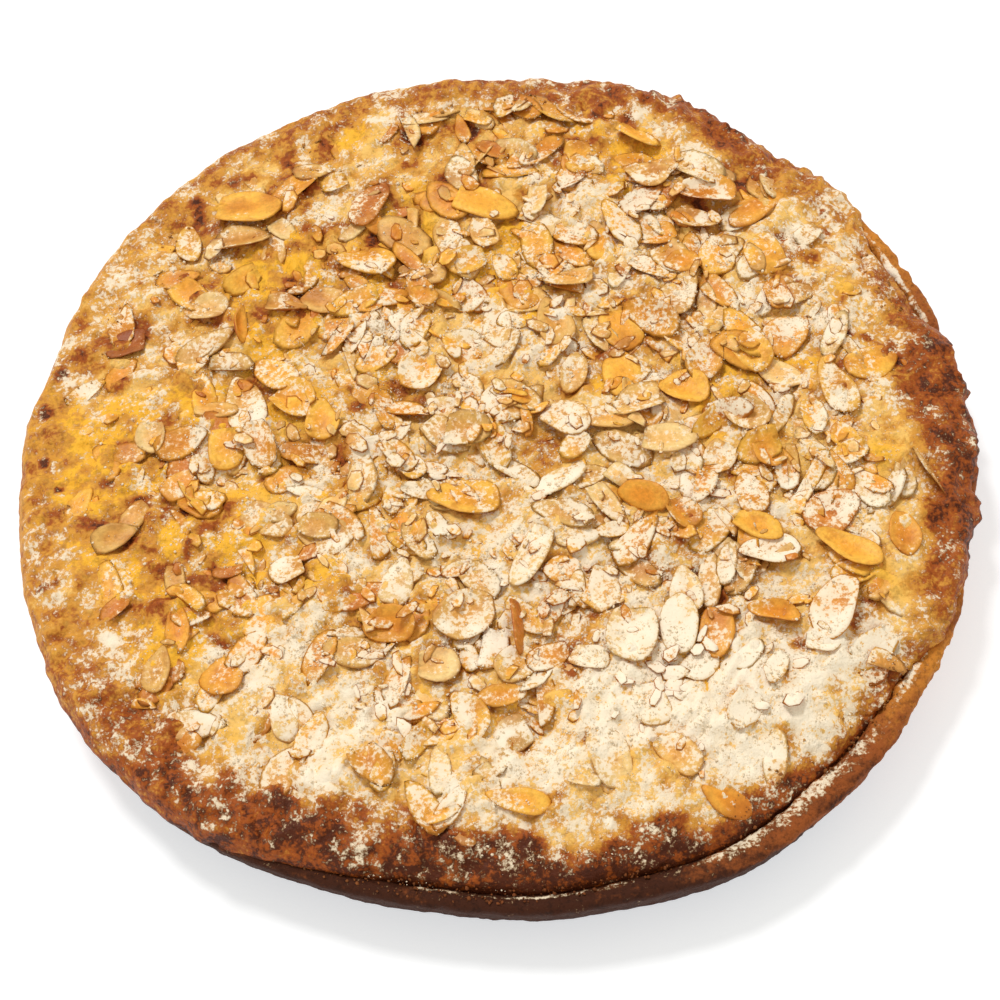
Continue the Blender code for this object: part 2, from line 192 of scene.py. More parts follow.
# Where the most sugar lies: east, north and radius in mm, then the amount
SUGAR_PATCHES = (
    (54, -72, 30, 1.25), (30, -68, 26, 1.15), (78, -62, 18, 0.95), (2, -82, 24, 0.9),
    (-36, -64, 26, 0.9), (-52, -66, 16, 0.7), (22, -42, 22, 0.7), (8, -8, 22, 0.6),
    (2, 22, 20, 0.65), (28, 72, 20, 0.85), (40, 62, 16, 0.75), (88, 30, 20, 0.88),
    (86, 54, 16, 0.95), (82, 10, 20, 0.72), (88, -8, 18, 0.6), (92, -42, 20, 0.6),
    (70, 42, 18, 0.75), (-84, 56, 14, 0.7), (-92, 48, 10, 0.65), (-40, 0, 20, 0.45),
    (-20, -22, 22, 0.5), (-90, -58, 16, 0.55), (-4, 90, 20, 0.45), (88, -56, 16, 0.85),
    (70, -84, 14, 0.75), (104, -26, 14, 0.7), (18, -97, 14, 0.75), (-18, -92, 16, 0.75),
    (-48, -84, 16, 0.75), (-74, -66, 16, 0.75), (-96, -40, 12, 0.75), (60, 84, 16, 0.75),
    (96, 48, 14, 0.8), (66, 60, 22, 0.8), (46, 78, 18, 0.8),
)
LEAST_SUGAR = 0.63
GOLDEN_KEEPS_SUGAR = 0.62

# Small dark holes in the filling: east and north in mm, then radius and depth in mm
HOLES = (
    (-108, 38, 1.4, 1.5), (-112, 27, 1.6, 1.5), (-112.5, 12, 1.2, 1.2), (-109, 3, 0.9, 1.4),
    (-113.5, -24, 1.2, 1.6), (-92, 33, 0.9, 1.0), (-75, 7, 1.0, 1.2), (90, 66, 1.0, 1.4),
    (-80, 62, 1.2, 1.2), (-14, 100, 2.2, 1.6), (1, 99, 2.4, 1.6), (78, 58, 1.6, 1.2),
    (46, -38, 1.6, 1.2), (-14, -106, 1.6, 1.2),
)

# How far the baked filling runs out over the rim: direction in degrees, then 0 for not at all to
# 1 for down over its outer corner. On the near side and at the upper right a groove is left.
RIM_OVERLAP = (
    (-150, 1.0), (-130, 1.0), (-118, 0.6), (-106, 0.1), (-34, 0.1), (-25, 1.0), (11, 1.0),
    (18, 0.12), (29, 0.1), (37, 1.0), (100, 1.0),
)
OVERLAP_DROP = 1.8 * MM
# Where the edge is jagged: direction, half-width and fade in degrees
ROUGH_SIDE = (12, 52, 30)
# Relief of the case on its smooth sides, and how much more it has where the edge is jagged
CASE_RELIEF = 0.45 * MM
ROUGH_CASE_RELIEF = 0.65 * MM

# Patterns of unevenness: the size of the largest cells, the seed and the number of octaves
SOFT_LUMPS = (10.0 * MM, 20, 2)
CURDS = (5.0 * MM, 30, 3)
GRIT = (2.2 * MM, 33, 1)
EDGE_CRUMBS = (4.6 * MM, 35, 3)
UNEVEN_LIP = (6.0 * MM, 37, 3)
GOLDEN_WANDER = (16.0 * MM, 40, 3)
RAGGED_BORDER = (12.0 * MM, 50, 3)
BROAD_MOTTLES = (20.0 * MM, 60, 3)
FINE_MOTTLES = (5.0 * MM, 65, 3)
SUGAR_DRIFTS = (9.0 * MM, 70, 3)
SUGAR_SPECKS = (3.5 * MM, 72, 2)
SUGAR_CLUSTERS = (3.0 * MM, 75, 3)
CASE_GRAIN = (3.0 * MM, 80, 3)
CASE_MOTTLES = (8.0 * MM, 90, 3)
RIM_SUGAR_SPECKS = (4.0 * MM, 95, 2)
# The point that a pattern's octaves turn about, in cells from the middle of the tart
PATTERN_SHIFT = (90.3, 40.7)
# Random values along each side of a pattern's table, after which it repeats
TABLE_SIZE = 256

CUT_EDGE_SEED = 5


def smooth_step(value):
    """0 up to 0, 1 from 1, and a smooth S between."""
    value = np.clip(value, 0.0, 1.0)
    return value * value * (3.0 - 2.0 * value)


def angle_from(angle, direction):
    """Signed turn from a direction in degrees to an angle in radians, within half a turn."""
    return (angle - math.radians(direction) + math.pi) % (2.0 * math.pi) - math.pi


def bells(angle, table):
    """Sum over a table's rows of amount times exp(-(turn from the direction / half-width)^2)."""
    total = np.zeros_like(angle)
    for direction, half_width, amount in table:
        turn = angle_from(angle, direction) / math.radians(half_width)
        total = total + amount * np.exp(-turn * turn)
    return total


def outline(angle):
    """Radius of the tart's edge by angle: a circle, a slight waviness and its low bulges."""
    waves = 0.25 * MM * (np.sin(11.0 * angle + 1.0) + np.sin(17.0 * angle + 2.6))
    return TART_RADIUS + waves + bells(angle, OUTLINE_BULGES)


def rim_extra(angle):
    """How much wider than usual the rim is by angle, all of it on its inner side."""
    return bells(angle, RIM_WIDTH_CHANGES)


def oval_reach(east, north, length, width, heading):
    """Square of how far out a place is in an oval that lies at a heading in degrees: 1 at its rim."""
    turn = math.radians(heading)
    along = (east * math.cos(turn) + north * math.sin(turn)) / (0.5 * length)
    across = (north * math.cos(turn) - east * math.sin(turn)) / (0.5 * width)
    return along**2 + across**2


def lying_axes(normal, turn):
    """Long and side axes of slices: a level line at a turn, dropped onto the plane of the normal."""
    long_axis = np.stack([np.cos(turn), np.sin(turn), 0.0 * turn], axis=-1)
    long_axis -= normal * (long_axis * normal).sum(axis=-1, keepdims=True)
    long_axis /= np.linalg.norm(long_axis, axis=-1, keepdims=True)
    return long_axis, np.cross(normal, long_axis)


def rim_level(angle):
    """Height of the rim's top by angle."""
    return RIM_HEIGHT + RIM_WAVE * (0.6 * np.sin(5.0 * angle + 0.7) + 0.4 * np.sin(13.0 * angle))


def sector(angle, direction, half_width, fade):
    """1 within a half-width of a direction, fading to 0 past it; all but the angle in degrees."""
    turn = np.abs(angle_from(angle, direction))
    return 1.0 - smooth_step((turn - math.radians(half_width)) / math.radians(fade))


def filling_edge(angle):
    """Radius at which the filling meets the rim's inner side."""
    return outline(angle) - rim_extra(angle) - EDGE_INSET


def plane_waves(seed, length, count=14):
    """Wave vectors and phases of plane waves in random directions, all of about one length."""
    rng = np.random.default_rng(seed)
    heading = rng.uniform(0.0, 2.0 * np.pi, count)
    number = 2.0 * np.pi / (length * rng.uniform(0.75, 1.35, count))
    phase = rng.uniform(0.0, 2.0 * np.pi, count)
    return number * np.cos(heading), number * np.sin(heading), phase


def relief(x, y, waves):
    """Sum of plane waves, scaled so that its usual size is 1."""
    east, north, phase = waves
    angle = x[..., None] * east + y[..., None] * north + phase
    return np.cos(angle).sum(axis=-1) * math.sqrt(2.0 / len(phase))


def edge_level(angle):
    """Height at which the filling meets the rim: deeper on the near side, where a groove is left."""
    return FLUSH_LEVEL + (GROOVE_LEVEL - FLUSH_LEVEL) * sector(angle, *GROOVE_SIDE)


def filling_top(x, y):
    """Height of the filling's top: a superellipse shoulder, a low crown and soft lumps."""
    angle = np.arctan2(y, x)
    fraction = np.clip(np.hypot(x, y) / filling_edge(angle), 0.0, 1.0)
    edge = edge_level(angle)
    power = 5.0 + 3.5 * sector(angle, *STEEP_SIDE)
    shoulder = np.sqrt(1.0 - fraction**power)
    lumps = LUMP_HEIGHT * relief(x, y, plane_waves(LUMP_SEED, LUMP_LENGTH))
    crown = DOME_HEIGHT + DOME_CROWN * (1.0 - fraction**2) + lumps
    return edge + (crown - edge) * shoulder


def support_height(x, y):
    """What a flake rests on: the filling, and past its edge a level just over the rim."""
    angle = np.arctan2(y, x)
    beyond = np.hypot(x, y) > filling_edge(angle)
    return np.where(beyond, rim_level(angle) + CLEAR_OF_RIM, filling_top(x, y))


def flake_share(x, y):
    """Share of the scattered flakes kept by place: all over the middle, few near the edge."""
    distance = np.hypot(x - DENSE_CENTRE[0], y - DENSE_CENTRE[1])
    return 1.0 - (1.0 - SPARSE_SHARE) * smooth_step((distance - DENSE_RADIUS) / DENSE_FADE)


def scattered_flakes(rng):
    """Places, sizes and headings of the other large flakes, spread evenly by drawing and spacing."""
    taken = [(east * MM, north * MM) for east, north, *_ in PLACED_FLAKES]
    rows = []
    while len(rows) < SCATTERED_FLAKES:
        x, y = rng.uniform(-SCATTER_RADIUS, SCATTER_RADIUS, 2)
        length = rng.uniform(10.0, 16.5) * MM
        width = length * rng.uniform(0.5, 0.68)
        heading = rng.uniform(0.0, 180.0)
        lean = rng.normal(0.0, 6.0)
        keep = rng.random() < flake_share(x, y) and math.hypot(x, y) < SCATTER_RADIUS
        if keep and min(math.dist((x, y), place) for place in taken) > SCATTER_SPACING:
            taken.append((x, y))
            rows.append((x, y, length, width, heading, lean))
    return rows


def placed_flakes():
    """The flakes of the list above, in metres and degrees."""
    return [(*(size * MM for size in row[:4]), *row[4:6]) for row in PLACED_FLAKES]


def settle(rows, height, thickness, sink):
    """Lay flakes down in turn on a height map of the top, and return each one's centre and axes.

    A flake takes the slope of the best plane through the heights under it, touches the highest
    of them, sinks in a little, and raises the map for the next. Leaning then lifts one side
    about the other, which stays where it was.
    """
    grid_x, grid_y = map_grid(MAP_CELL)
    poses = []
    for x, y, length, width, heading, lean in rows:
        east, north = grid_x - x, grid_y - y
        under = oval_reach(east, north, length, width, heading) < UNDER_FLAKE**2
        spots = np.column_stack([east[under], north[under], np.ones(under.sum())])
        slope = np.linalg.lstsq(spots, height[under], rcond=None)[0][:2]
        slope = slope / max(1.0, math.hypot(*slope) / STEEPEST_REST)
        plane = spots[:, :2] @ slope
        base = (height[under] - plane).max() - sink
        height[under] = np.maximum(height[under], plane + base + thickness)
        normal = np.array([-slope[0], -slope[1], 1.0])
        normal /= np.linalg.norm(normal)
        long_axis, side_axis = lying_axes(normal, math.radians(heading))
        tilt = math.radians(lean)
        leaning_side = side_axis * math.cos(tilt) + normal * math.sin(tilt)
        leaning_up = normal * math.cos(tilt) - side_axis * math.sin(tilt)
        lift = LEAN_LIFT * width * abs(math.sin(tilt))
        centre = np.array([x, y, base + 0.5 * thickness]) + normal * lift
        poses.append((centre, long_axis, leaning_side, leaning_up))
    return np.array(poses)


def map_grid(cell):
    """East and north of the nodes of a square map over the whole tart."""
    axis = np.arange(-TART_RADIUS, TART_RADIUS + cell, cell)
    return np.meshgrid(axis, axis, indexing="ij")


# The fine surface


def solid_offset():
    """How far the solids were moved to stand centred on the origin."""
    angle = np.arange(SOLID_SEGMENTS) * 2.0 * np.pi / SOLID_SEGMENTS
    radius = outline(angle)
    low_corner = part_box("pastry_case")[0]
    east = low_corner.x - (radius * np.cos(angle)).min()
    north = low_corner.y - (radius * np.sin(angle)).min()
    return np.array([east, north, 0.0])


def lattice_noise(u, v, seed, around=TABLE_SIZE):
    """Smooth noise from 0 to 1: random values on whole numbers of u and v, blended with an S curve.

    u repeats after a whole number of cells, so a pattern can run round the tart without a seam.
    """
    table = np.random.default_rng(seed).random((around, TABLE_SIZE))
    column = np.floor(u).astype(int)
    row = np.floor(v).astype(int)
    across = smooth_step(u - column)
    up = smooth_step(v - row)
    left, right = column % around, (column + 1) % around
    below, above = row % TABLE_SIZE, (row + 1) % TABLE_SIZE
    low = table[left, below] * (1.0 - across) + table[right, below] * across
    high = table[left, above] * (1.0 - across) + table[right, above] * across
    return low * (1.0 - up) + high * up


def crumbly(x, y, cell, seed, octaves):
    """Noise about 0: octaves of half the cell and half the height each, each turned from the last."""
    total = np.zeros(np.broadcast(x, y).shape)
    for octave in range(octaves):
        size = cell / 2**octave
        u = (x * math.cos(octave) + y * math.sin(octave)) / size + PATTERN_SHIFT[0]
        v = (y * math.cos(octave) - x * math.sin(octave)) / size + PATTERN_SHIFT[1]
        total += (lattice_noise(u, v, seed + octave) - 0.5) / 2**octave
    return total


def patch_amount(x, y, patches):
    """The largest of round patches that fade out as bells: amount times exp(-(distance/radius)^2)."""
    amount = np.zeros(np.broadcast(x, y).shape)
    for east, north, radius, level in patches:
        distance = np.hypot(x - east * MM, y - north * MM) / (radius * MM)
        amount = np.maximum(amount, level * np.exp(-distance * distance))
    return amount


def golden_amount(x, y):
    """0 where the filling is tan and 1 where it is golden, with an uneven border."""
    wander = 1.3 * crumbly(x, y, *GOLDEN_WANDER)
    return smooth_step((patch_amount(x, y, GOLDEN_PATCHES) + wander - 0.25) / 0.55)


def border_toast_and_shade(x, y):
    """How brown the top is, painted shade included: the border's level by direction, fading inwards,
    over uneven mottling.
    """
    angle = np.arctan2(y, x)
    width = by_direction(angle, BORDER_TOAST_AND_SHADE, 2) * MM
    inwards = outline(angle) - np.hypot(x, y) - RIM_WIDTH
    ragged = 9.0 * MM * crumbly(x, y, *RAGGED_BORDER)
    fade = 1.0 - smooth_step((inwards + ragged) / width - 0.35)
    golden = golden_amount(x, y)
    mottling = 0.16 + 0.3 * patch_amount(x, y, DARKER_PATCHES)
    mottling += (0.4 + 0.1 * golden) * crumbly(x, y, *BROAD_MOTTLES)
    mottling += (0.7 + 0.3 * golden) * crumbly(x, y, *FINE_MOTTLES)
    return np.clip(np.maximum(by_direction(angle, BORDER_TOAST_AND_SHADE) * fade, mottling), 0.0, 1.0)


def sugar_amount(x, y):
    """How much sugar lies on the top, from 0 to 1: patches over an even dusting, unevenly.

    Golden places keep only a share of the even dusting, and the border, brown and in painted shade, has
    less.
    """
    amount = np.maximum(patch_amount(x, y, SUGAR_PATCHES), LEAST_SUGAR)
    bare = golden_amount(x, y) * (1.0 - smooth_step((amount - LEAST_SUGAR) / 0.2))
    amount = amount * (1.0 - (1.0 - GOLDEN_KEEPS_SUGAR) * bare)
    amount = amount - 0.22 * patch_amount(x, y, DARKER_PATCHES)
    border = smooth_step((border_toast_and_shade(x, y) - 0.35) / 0.45)
    uneven = 0.42 * crumbly(x, y, *SUGAR_DRIFTS) + 0.5 * crumbly(x, y, *SUGAR_SPECKS)
    return np.clip(amount * (1.0 - 0.55 * border) + uneven, 0.0, 1.0)


def clean_slices(x, y):
    """1 on the placed slices that have next to no sugar on them, 0 off them."""
    clean = np.zeros(np.broadcast(x, y).shape)
    for east, north, length, width, heading, _, _, dust in PLACED_FLAKES:
        reach = oval_reach(x / MM - east, y / MM - north, length, width, heading)
        level = 1.0 - float(smooth_step((dust - 0.2) / 0.5))
        clean = np.maximum(clean, level * (reach < 1.0))
    return clean


def sugar_clusters(x, y):
    """Where grains of sugar fall: the amount of sugar, gathered in clusters of a few millimetres."""
    clusters = smooth_step(0.5 + 3.0 * crumbly(x, y, *SUGAR_CLUSTERS))
    return sugar_amount(x, y) * clusters * (1.0 - clean_slices(x, y))


def crumb_share(x, y):
    """Where loose crumbs lie: near the tart's edge, the more the browner it is, painted shade included.
    """
    inwards = outline(np.arctan2(y, x)) - np.hypot(x, y)
    return border_toast_and_shade(x, y) * (1.0 - smooth_step((inwards - 8.0 * MM) / (10.0 * MM)))


def hole_depth(x, y):
    """Depth of the small holes: a bell for each."""
    return patch_amount(x, y, HOLES) * MM


def fine_top(x, y):
    """Height of the filling's baked surface: its solid's top, crumbly relief and small holes."""
    inside = 1.0 - smooth_step((np.hypot(x, y) / filling_edge(np.arctan2(y, x)) - 0.97) / 0.03)
    relief_height = 1.8 * MM * crumbly(x, y, *SOFT_LUMPS)
    relief_height += 3.4 * MM * (np.abs(crumbly(x, y, *CURDS)) - 0.2)
    relief_height += 0.8 * MM * crumbly(x, y, *GRIT)
    return filling_top(x, y) + inside * (relief_height - hole_depth(x, y))


# Meshes


def mesh_piece(name, points, corners, uv, material, values=(), tones=None, flat=False):
    """An object of triangles that rides on the tart, from whole arrays.

    points is (n, 3), corners (faces, 3), uv (faces, 3, 2); values are pairs of an attribute's
    name and its array of n numbers, and tones is an array of n colours.
    """
    mesh = bpy.data.meshes.new(name)
    mesh.vertices.add(len(points))
    mesh.loops.add(corners.size)
    mesh.polygons.add(len(corners))
    placed = points + solid_offset()
    mesh.vertices.foreach_set("co", placed.astype(np.float32).ravel())
    mesh.loops.foreach_set("vertex_index", corners.astype(np.int32).ravel())
    mesh.polygons.foreach_set("loop_start", np.arange(0, corners.size, 3, dtype=np.int32))
    for key, array in values:
        layer = mesh.attributes.new(key, "FLOAT", "POINT")
        layer.data.foreach_set("value", array.astype(np.float32))
    if tones is not None:
        layer = mesh.color_attributes.new("tone", "FLOAT_COLOR", "POINT")
        opaque = np.column_stack([tones, np.ones(len(tones))])
        layer.data.foreach_set("color", opaque.astype(np.float32).ravel())
    layer = mesh.uv_layers.new(name="OFBake")
    layer.uv.foreach_set("vector", uv.astype(np.float32).ravel())
    mesh.materials.append(material)
    mesh.update(calc_edges=True)
    mesh.validate()
    if not flat:
        mesh.shade_smooth()
    piece = bpy.data.objects.new(name, mesh)
    bpy.context.scene.collection.objects.link(piece)
    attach(piece, "root")
    return piece


def stack_corners(rings, points):
    """Corners of the triangles of a closed stack: a first pole, rings of points and a last pole.

    Returns the ring and the turn of each corner, (faces, 3) each. A pole has ring 0 or rings + 1
    and a turn midway between its neighbours'. Seen from the first pole the turns run anticlockwise.
    """
    side = np.arange(points, dtype=float)
    ring, turn = (array.ravel() for array in np.meshgrid(np.arange(1.0, rings), side, indexing="ij"))
    first, last = 0.0 * side, 0.0 * side + rings
    parts = (
        ((first, first + 1, first + 1), (side + 0.5, side, side + 1)),
        ((ring, ring + 1, ring + 1), (turn, turn, turn + 1)),
        ((ring, ring + 1, ring), (turn, turn + 1, turn + 1)),
        ((last + 1, last, last), (side + 0.5, side + 1, side)),
    )
    return [np.concatenate([np.stack(part[number], 1) for part in parts]) for number in (0, 1)]


def stack_indices(ring, turn, rings, points):
    """Index of the point at each ring and turn of a closed stack."""
    inside = 1 + (ring - 1) * points + turn % points
    index = np.where(ring == 0, 0, np.where(ring == rings + 1, 1 + rings * points, inside))
    return index.astype(int)


def disc_uv(share, turn):
    """Places in the unit square: share of the way from its middle, turn from 0 to 1."""
    angle = 2.0 * np.pi * turn
    return 0.5 + 0.49 * share[..., None] * np.stack([np.cos(angle), np.sin(angle)], axis=-1)


def repeated_stacks(count, rings, points):
    """Corners and map of many like stacks, each in its own cell of a square map."""
    ring, turn = stack_corners(rings, points)
    corners = stack_indices(ring, turn, rings, points)
    step = 2 + rings * points
    every = (corners[None] + np.arange(count)[:, None, None] * step).reshape(-1, 3)
    columns = math.ceil(math.sqrt(count))
    cell = np.stack(np.divmod(np.arange(count), columns), axis=-1)[:, None, None, :]
    uv = (disc_uv(ring / (rings + 1), turn / points)[None] * 0.96 + 0.02 + cell) / columns
    return every, uv.reshape(-1, 3, 2)


def even_steps(path, count):
    """count points at even distances along a polyline of (n, 2) points, both ends kept."""
    path = np.array(path)
    length = np.append(0.0, np.cumsum(np.hypot(*np.diff(path, axis=0).T)))
    stops = np.linspace(0.0, length[-1], count)
    return np.column_stack([np.interp(stops, length, path[:, axis]) for axis in (0, 1)])


def rounded(path, times):
    """A path of (n, 2) points, softened by averaging each inner point with its neighbours."""
    for _ in range(times):
        path = np.vstack([path[:1], (path[:-2] + 2.0 * path[1:-1] + path[2:]) / 4.0, path[-1:]])
    return path


# Pastry case

CASE_POINTS = 900
DISH_RINGS = 10
WALL_RINGS = 88
FOOT_RINGS = 6


def case_profile():
    """Radius and height of the case's section, from the middle of its floor over the rim to the foot."""
    outer, inner = TART_RADIUS, TART_RADIUS - RIM_WIDTH
    dish = [
        (0.3 * FLOOR_RADIUS, FLOOR_THICKNESS),
        (FLOOR_RADIUS, FLOOR_THICKNESS),
        (FLOOR_RADIUS + 2.5 * MM, 6.0 * MM),
        (inner - 0.8 * MM, 13.0 * MM),
    ]
    rim_and_wall = [
        (inner - 0.6 * MM, 14.0 * MM),
        (inner - 0.4 * MM, 17.0 * MM),
        (inner + 0.1 * MM, RIM_HEIGHT - 1.6 * MM),
        (inner + 1.2 * MM, RIM_HEIGHT - 0.3 * MM),
        (outer - 1.9 * MM, RIM_HEIGHT),
        (outer - 0.5 * MM, RIM_HEIGHT - 0.7 * MM),
        (outer, RIM_HEIGHT - 2.0 * MM),
        (outer - 0.4 * MM, 16.6 * MM),
        (outer - 2.0 * MM, 12.0 * MM),
        (FOOT_RADIUS + 2.3 * MM, 6.0 * MM),
        (FOOT_RADIUS, 1.0 * MM),
        (FOOT_RADIUS - 1.2 * MM, 0.1 * MM),
    ]
    foot = [(FOOT_RADIUS - 1.6 * MM, 0.0), (0.3 * FOOT_RADIUS, 0.0)]
    wall = rounded(even_steps(rim_and_wall, WALL_RINGS), 6)
    return np.vstack([even_steps(dish, DISH_RINGS), wall, even_steps(foot, FOOT_RINGS)])


def case_surface():
    """Points of the case: its profile turned about Z, moved to the outline, with crumbly relief.

    The relief pushes each point along the section's normal and fades out on the foot.
    """
    profile = case_profile()
    steps = np.gradient(profile, axis=0)
    steps /= np.maximum(np.hypot(*steps.T)[:, None], 1e-9)
    angle = np.arange(CASE_POINTS) * 2.0 * np.pi / CASE_POINTS
    radius, height = profile[:, :1], profile[:, 1:]
    distance = np.append(0.0, np.cumsum(np.hypot(*np.diff(profile, axis=0).T)))[:, None]
    cell, seed, octaves = CASE_GRAIN
    around = round(2.0 * math.pi * TART_RADIUS / cell)
    push = np.zeros((len(profile), CASE_POINTS))
    for octave in range(octaves):
        u = angle[None] / (2.0 * np.pi) * around * 2**octave
        v = distance / cell * 2**octave
        push += (lattice_noise(u, v, seed + octave, around * 2**octave) - 0.5) / 2**octave
    push *= CASE_RELIEF + ROUGH_CASE_RELIEF * sector(angle, *ROUGH_SIDE)
    push *= smooth_step((height - 0.6 * MM) / (3.0 * MM))
    level = height + push * steps[:, :1]
    level += smooth_step((height - 12.0 * MM) / (6.0 * MM)) * (rim_level(angle)[None] - RIM_HEIGHT)
    flare = (TART_RADIUS - FOOT_RADIUS) / RIM_HEIGHT
    inside = (height > 0.9 * FLOOR_THICKNESS) & (radius < FOOT_RADIUS + flare * height - 2.0 * MM)
    shift = outline(angle)[None] - TART_RADIUS - inside * rim_extra(angle)[None]
    shift = shift * smooth_step((radius - 60.0 * MM) / (40.0 * MM))
    flat_radius = radius - push * steps[:, 1:] + shift
    points = np.stack([flat_radius * np.cos(angle), flat_radius * np.sin(angle), level], axis=-1)
    poles = np.array([[0.0, 0.0, FLOOR_THICKNESS], [0.0, 0.0, 0.0]])
    return np.vstack([poles[:1], points.reshape(-1, 3), poles[1:]]), len(profile)


# How brown the wall is, partly real browning and partly painted shade on the near side away from the key
# light: direction in degrees, level from 0 to 1
WALL_TOAST_AND_SHADE = (
    (-125, 1.2), (-90, 1.3), (-68, 1.15), (-54, 0.9), (-40, 0.74), (-28, 0.52), (-12, 0.56),
    (10, 0.76), (50, 0.7), (90, 0.56), (150, 0.46), (185, 0.5), (205, 0.64), (222, 0.95),
)
# Where sugar is caught on the rim: direction in degrees, level from 0 to 1
RIM_SUGAR = (
    (-112, 0.1), (-92, 0.3), (-72, 0.36), (-60, 0.28), (-50, 0.05), (8, 0.2), (18, 0.6), (32, 0.6),
    (44, 0.4), (100, 0.2), (180, 0.3), (220, 0.45),
)
# The side where sugar lies further in: direction, half-width and fade in degrees
WIDE_RIM_SIDE = (-70, 40, 20)


def by_direction(angle, table, column=1):
    """A column of a table whose rows begin with a direction in degrees, straight between rows."""
    rows = np.array(table)
    return np.interp(np.degrees(angle), rows[:, 0], rows[:, column], period=360.0)


def case_toast_and_shade(points):
    """How brown the case is, painted shade included: the border's level on the rim and the wall's below
    it, darker towards the bottom, with mottling.
    """
    x, y, z = points.T
    angle = np.arctan2(y, x)
    wall = by_direction(angle, WALL_TOAST_AND_SHADE)
    rim = np.maximum(by_direction(angle, BORDER_TOAST_AND_SHADE) * 0.95, wall - 0.2)
    # Darker towards the bottom of the wall
    wall = wall + 0.12 * (1.0 - np.clip(z / RIM_HEIGHT, 0.0, 1.0))
    on_rim = smooth_step((z - 15.5 * MM) / (4.0 * MM))
    mottling = 0.14 * crumbly(x + 3.0 * z, y + 2.0 * z, *CASE_MOTTLES)
    return np.clip(wall + (rim - wall) * on_rim + mottling, 0.0, 1.3)


def case_sugar(points):
    """Sugar on the case: on the inner half of the rim's top, by direction, in patches."""
    x, y, z = points.T
    angle = np.arctan2(y, x)
    top = smooth_step((z - 18.5 * MM) / MM)
    inwards = outline(angle) - np.hypot(x, y)
    inner = smooth_step((inwards - 2.2 * MM - 0.8 * MM * sector(angle, *WIDE_RIM_SIDE)) / MM)
    patches = 1.3 * crumbly(0.3 * TART_RADIUS * angle, inwards, *RIM_SUGAR_SPECKS)
    return np.clip((by_direction(angle, RIM_SUGAR) + patches) * top * inner, 0.0, 1.0)


# Filling

FILLING_RINGS = 151
SIDE_RINGS = 6
FILLING_BOTTOM = FLOOR_THICKNESS + CLEARANCE


def ring_stations():
    """Share of the edge's radius at each top ring, evenly spaced along the usual section."""
    share = 1.0 - np.linspace(1.0, 0.0, 600) ** 2
    rise = (DOME_HEIGHT - GROOVE_LEVEL) * np.sqrt(1.0 - share**7)
    path = np.column_stack([share * (TART_RADIUS - EDGE_INSET), rise])
    return even_steps(path, FILLING_RINGS + 1)[:, 0] / (TART_RADIUS - EDGE_INSET)


def bent_grid():
    """A square grid bent into a disc: the places on it, and each one's ring and angle.

    A point's ring is the larger of its distances from the middle, and its angle runs evenly
    along that ring's four sides.
    """
    half = FILLING_RINGS + SIDE_RINGS
    steps = np.arange(-half, half + 1)
    a, b = (array.ravel() for array in np.meshgrid(steps, steps, indexing="ij"))
    wide = np.abs(a) >= np.abs(b)
    safe_a, safe_b = np.where(a == 0, 1, a), np.where(b == 0, 1, b)
    angle = np.where(wide, 0.25 * np.pi * b / safe_a, 0.5 * np.pi - 0.25 * np.pi * a / safe_b)
    angle = angle + np.where(np.where(wide, a, b) < 0, np.pi, 0.0)
    return np.column_stack([a, b]), np.maximum(np.abs(a), np.abs(b)), angle


def filling_points(ring, angle):
    """Points of the filling by ring and angle: its top, its run-out over the rim and its side.

    The run-out reaches over the rim and drops at its end. Crumbs move the edge in and out, and
    an uneven lip up and down. The last rings go straight down inside the case.
    """
    share = ring_stations()[np.minimum(ring, FILLING_RINGS)]
    edge = filling_edge(angle)
    overlap = by_direction(angle, RIM_OVERLAP)
    reach = overlap * (EDGE_INSET + rim_extra(angle) + 0.15 * MM) * smooth_step((share - 0.8) / 0.2)
    lift = (rim_level(angle) + 0.2 * MM - edge_level(angle)) * smooth_step((share - 0.9) / 0.1)
    drop = OVERLAP_DROP * smooth_step((share - 0.985) / 0.015) * smooth_step((overlap - 0.6) / 0.4)
    z = fine_top(share * edge * np.cos(angle), share * edge * np.sin(angle))
    z = z + lift * smooth_step((overlap - 0.2) / 0.2) - drop
    rough = 0.9 * MM + 2.0 * MM * sector(angle, *ROUGH_SIDE)
    crumbs = rough * crumbly(angle * TART_RADIUS, z, *EDGE_CRUMBS) * smooth_step((share - 0.94) / 0.03)
    radius = share * edge + reach + crumbs * ((share < 0.995) | (overlap > 0.5))
    lip = 0.9 * rough * crumbly(radius * np.cos(angle), radius * np.sin(angle), *UNEVEN_LIP)
    z = z + lip * smooth_step((share - 0.95) / 0.03) * smooth_step((overlap - 0.3) / 0.5)
    down = np.clip((ring - FILLING_RINGS) / SIDE_RINGS, 0.0, 1.0)
    radius = radius - reach * smooth_step(4.0 * down)
    floor_radius = edge - (TART_RADIUS - EDGE_INSET - FLOOR_RADIUS)
    radius = radius + (floor_radius - radius) * down**2
    z = z + (FILLING_BOTTOM - z) * down
    return np.column_stack([radius * np.cos(angle), radius * np.sin(angle), z])


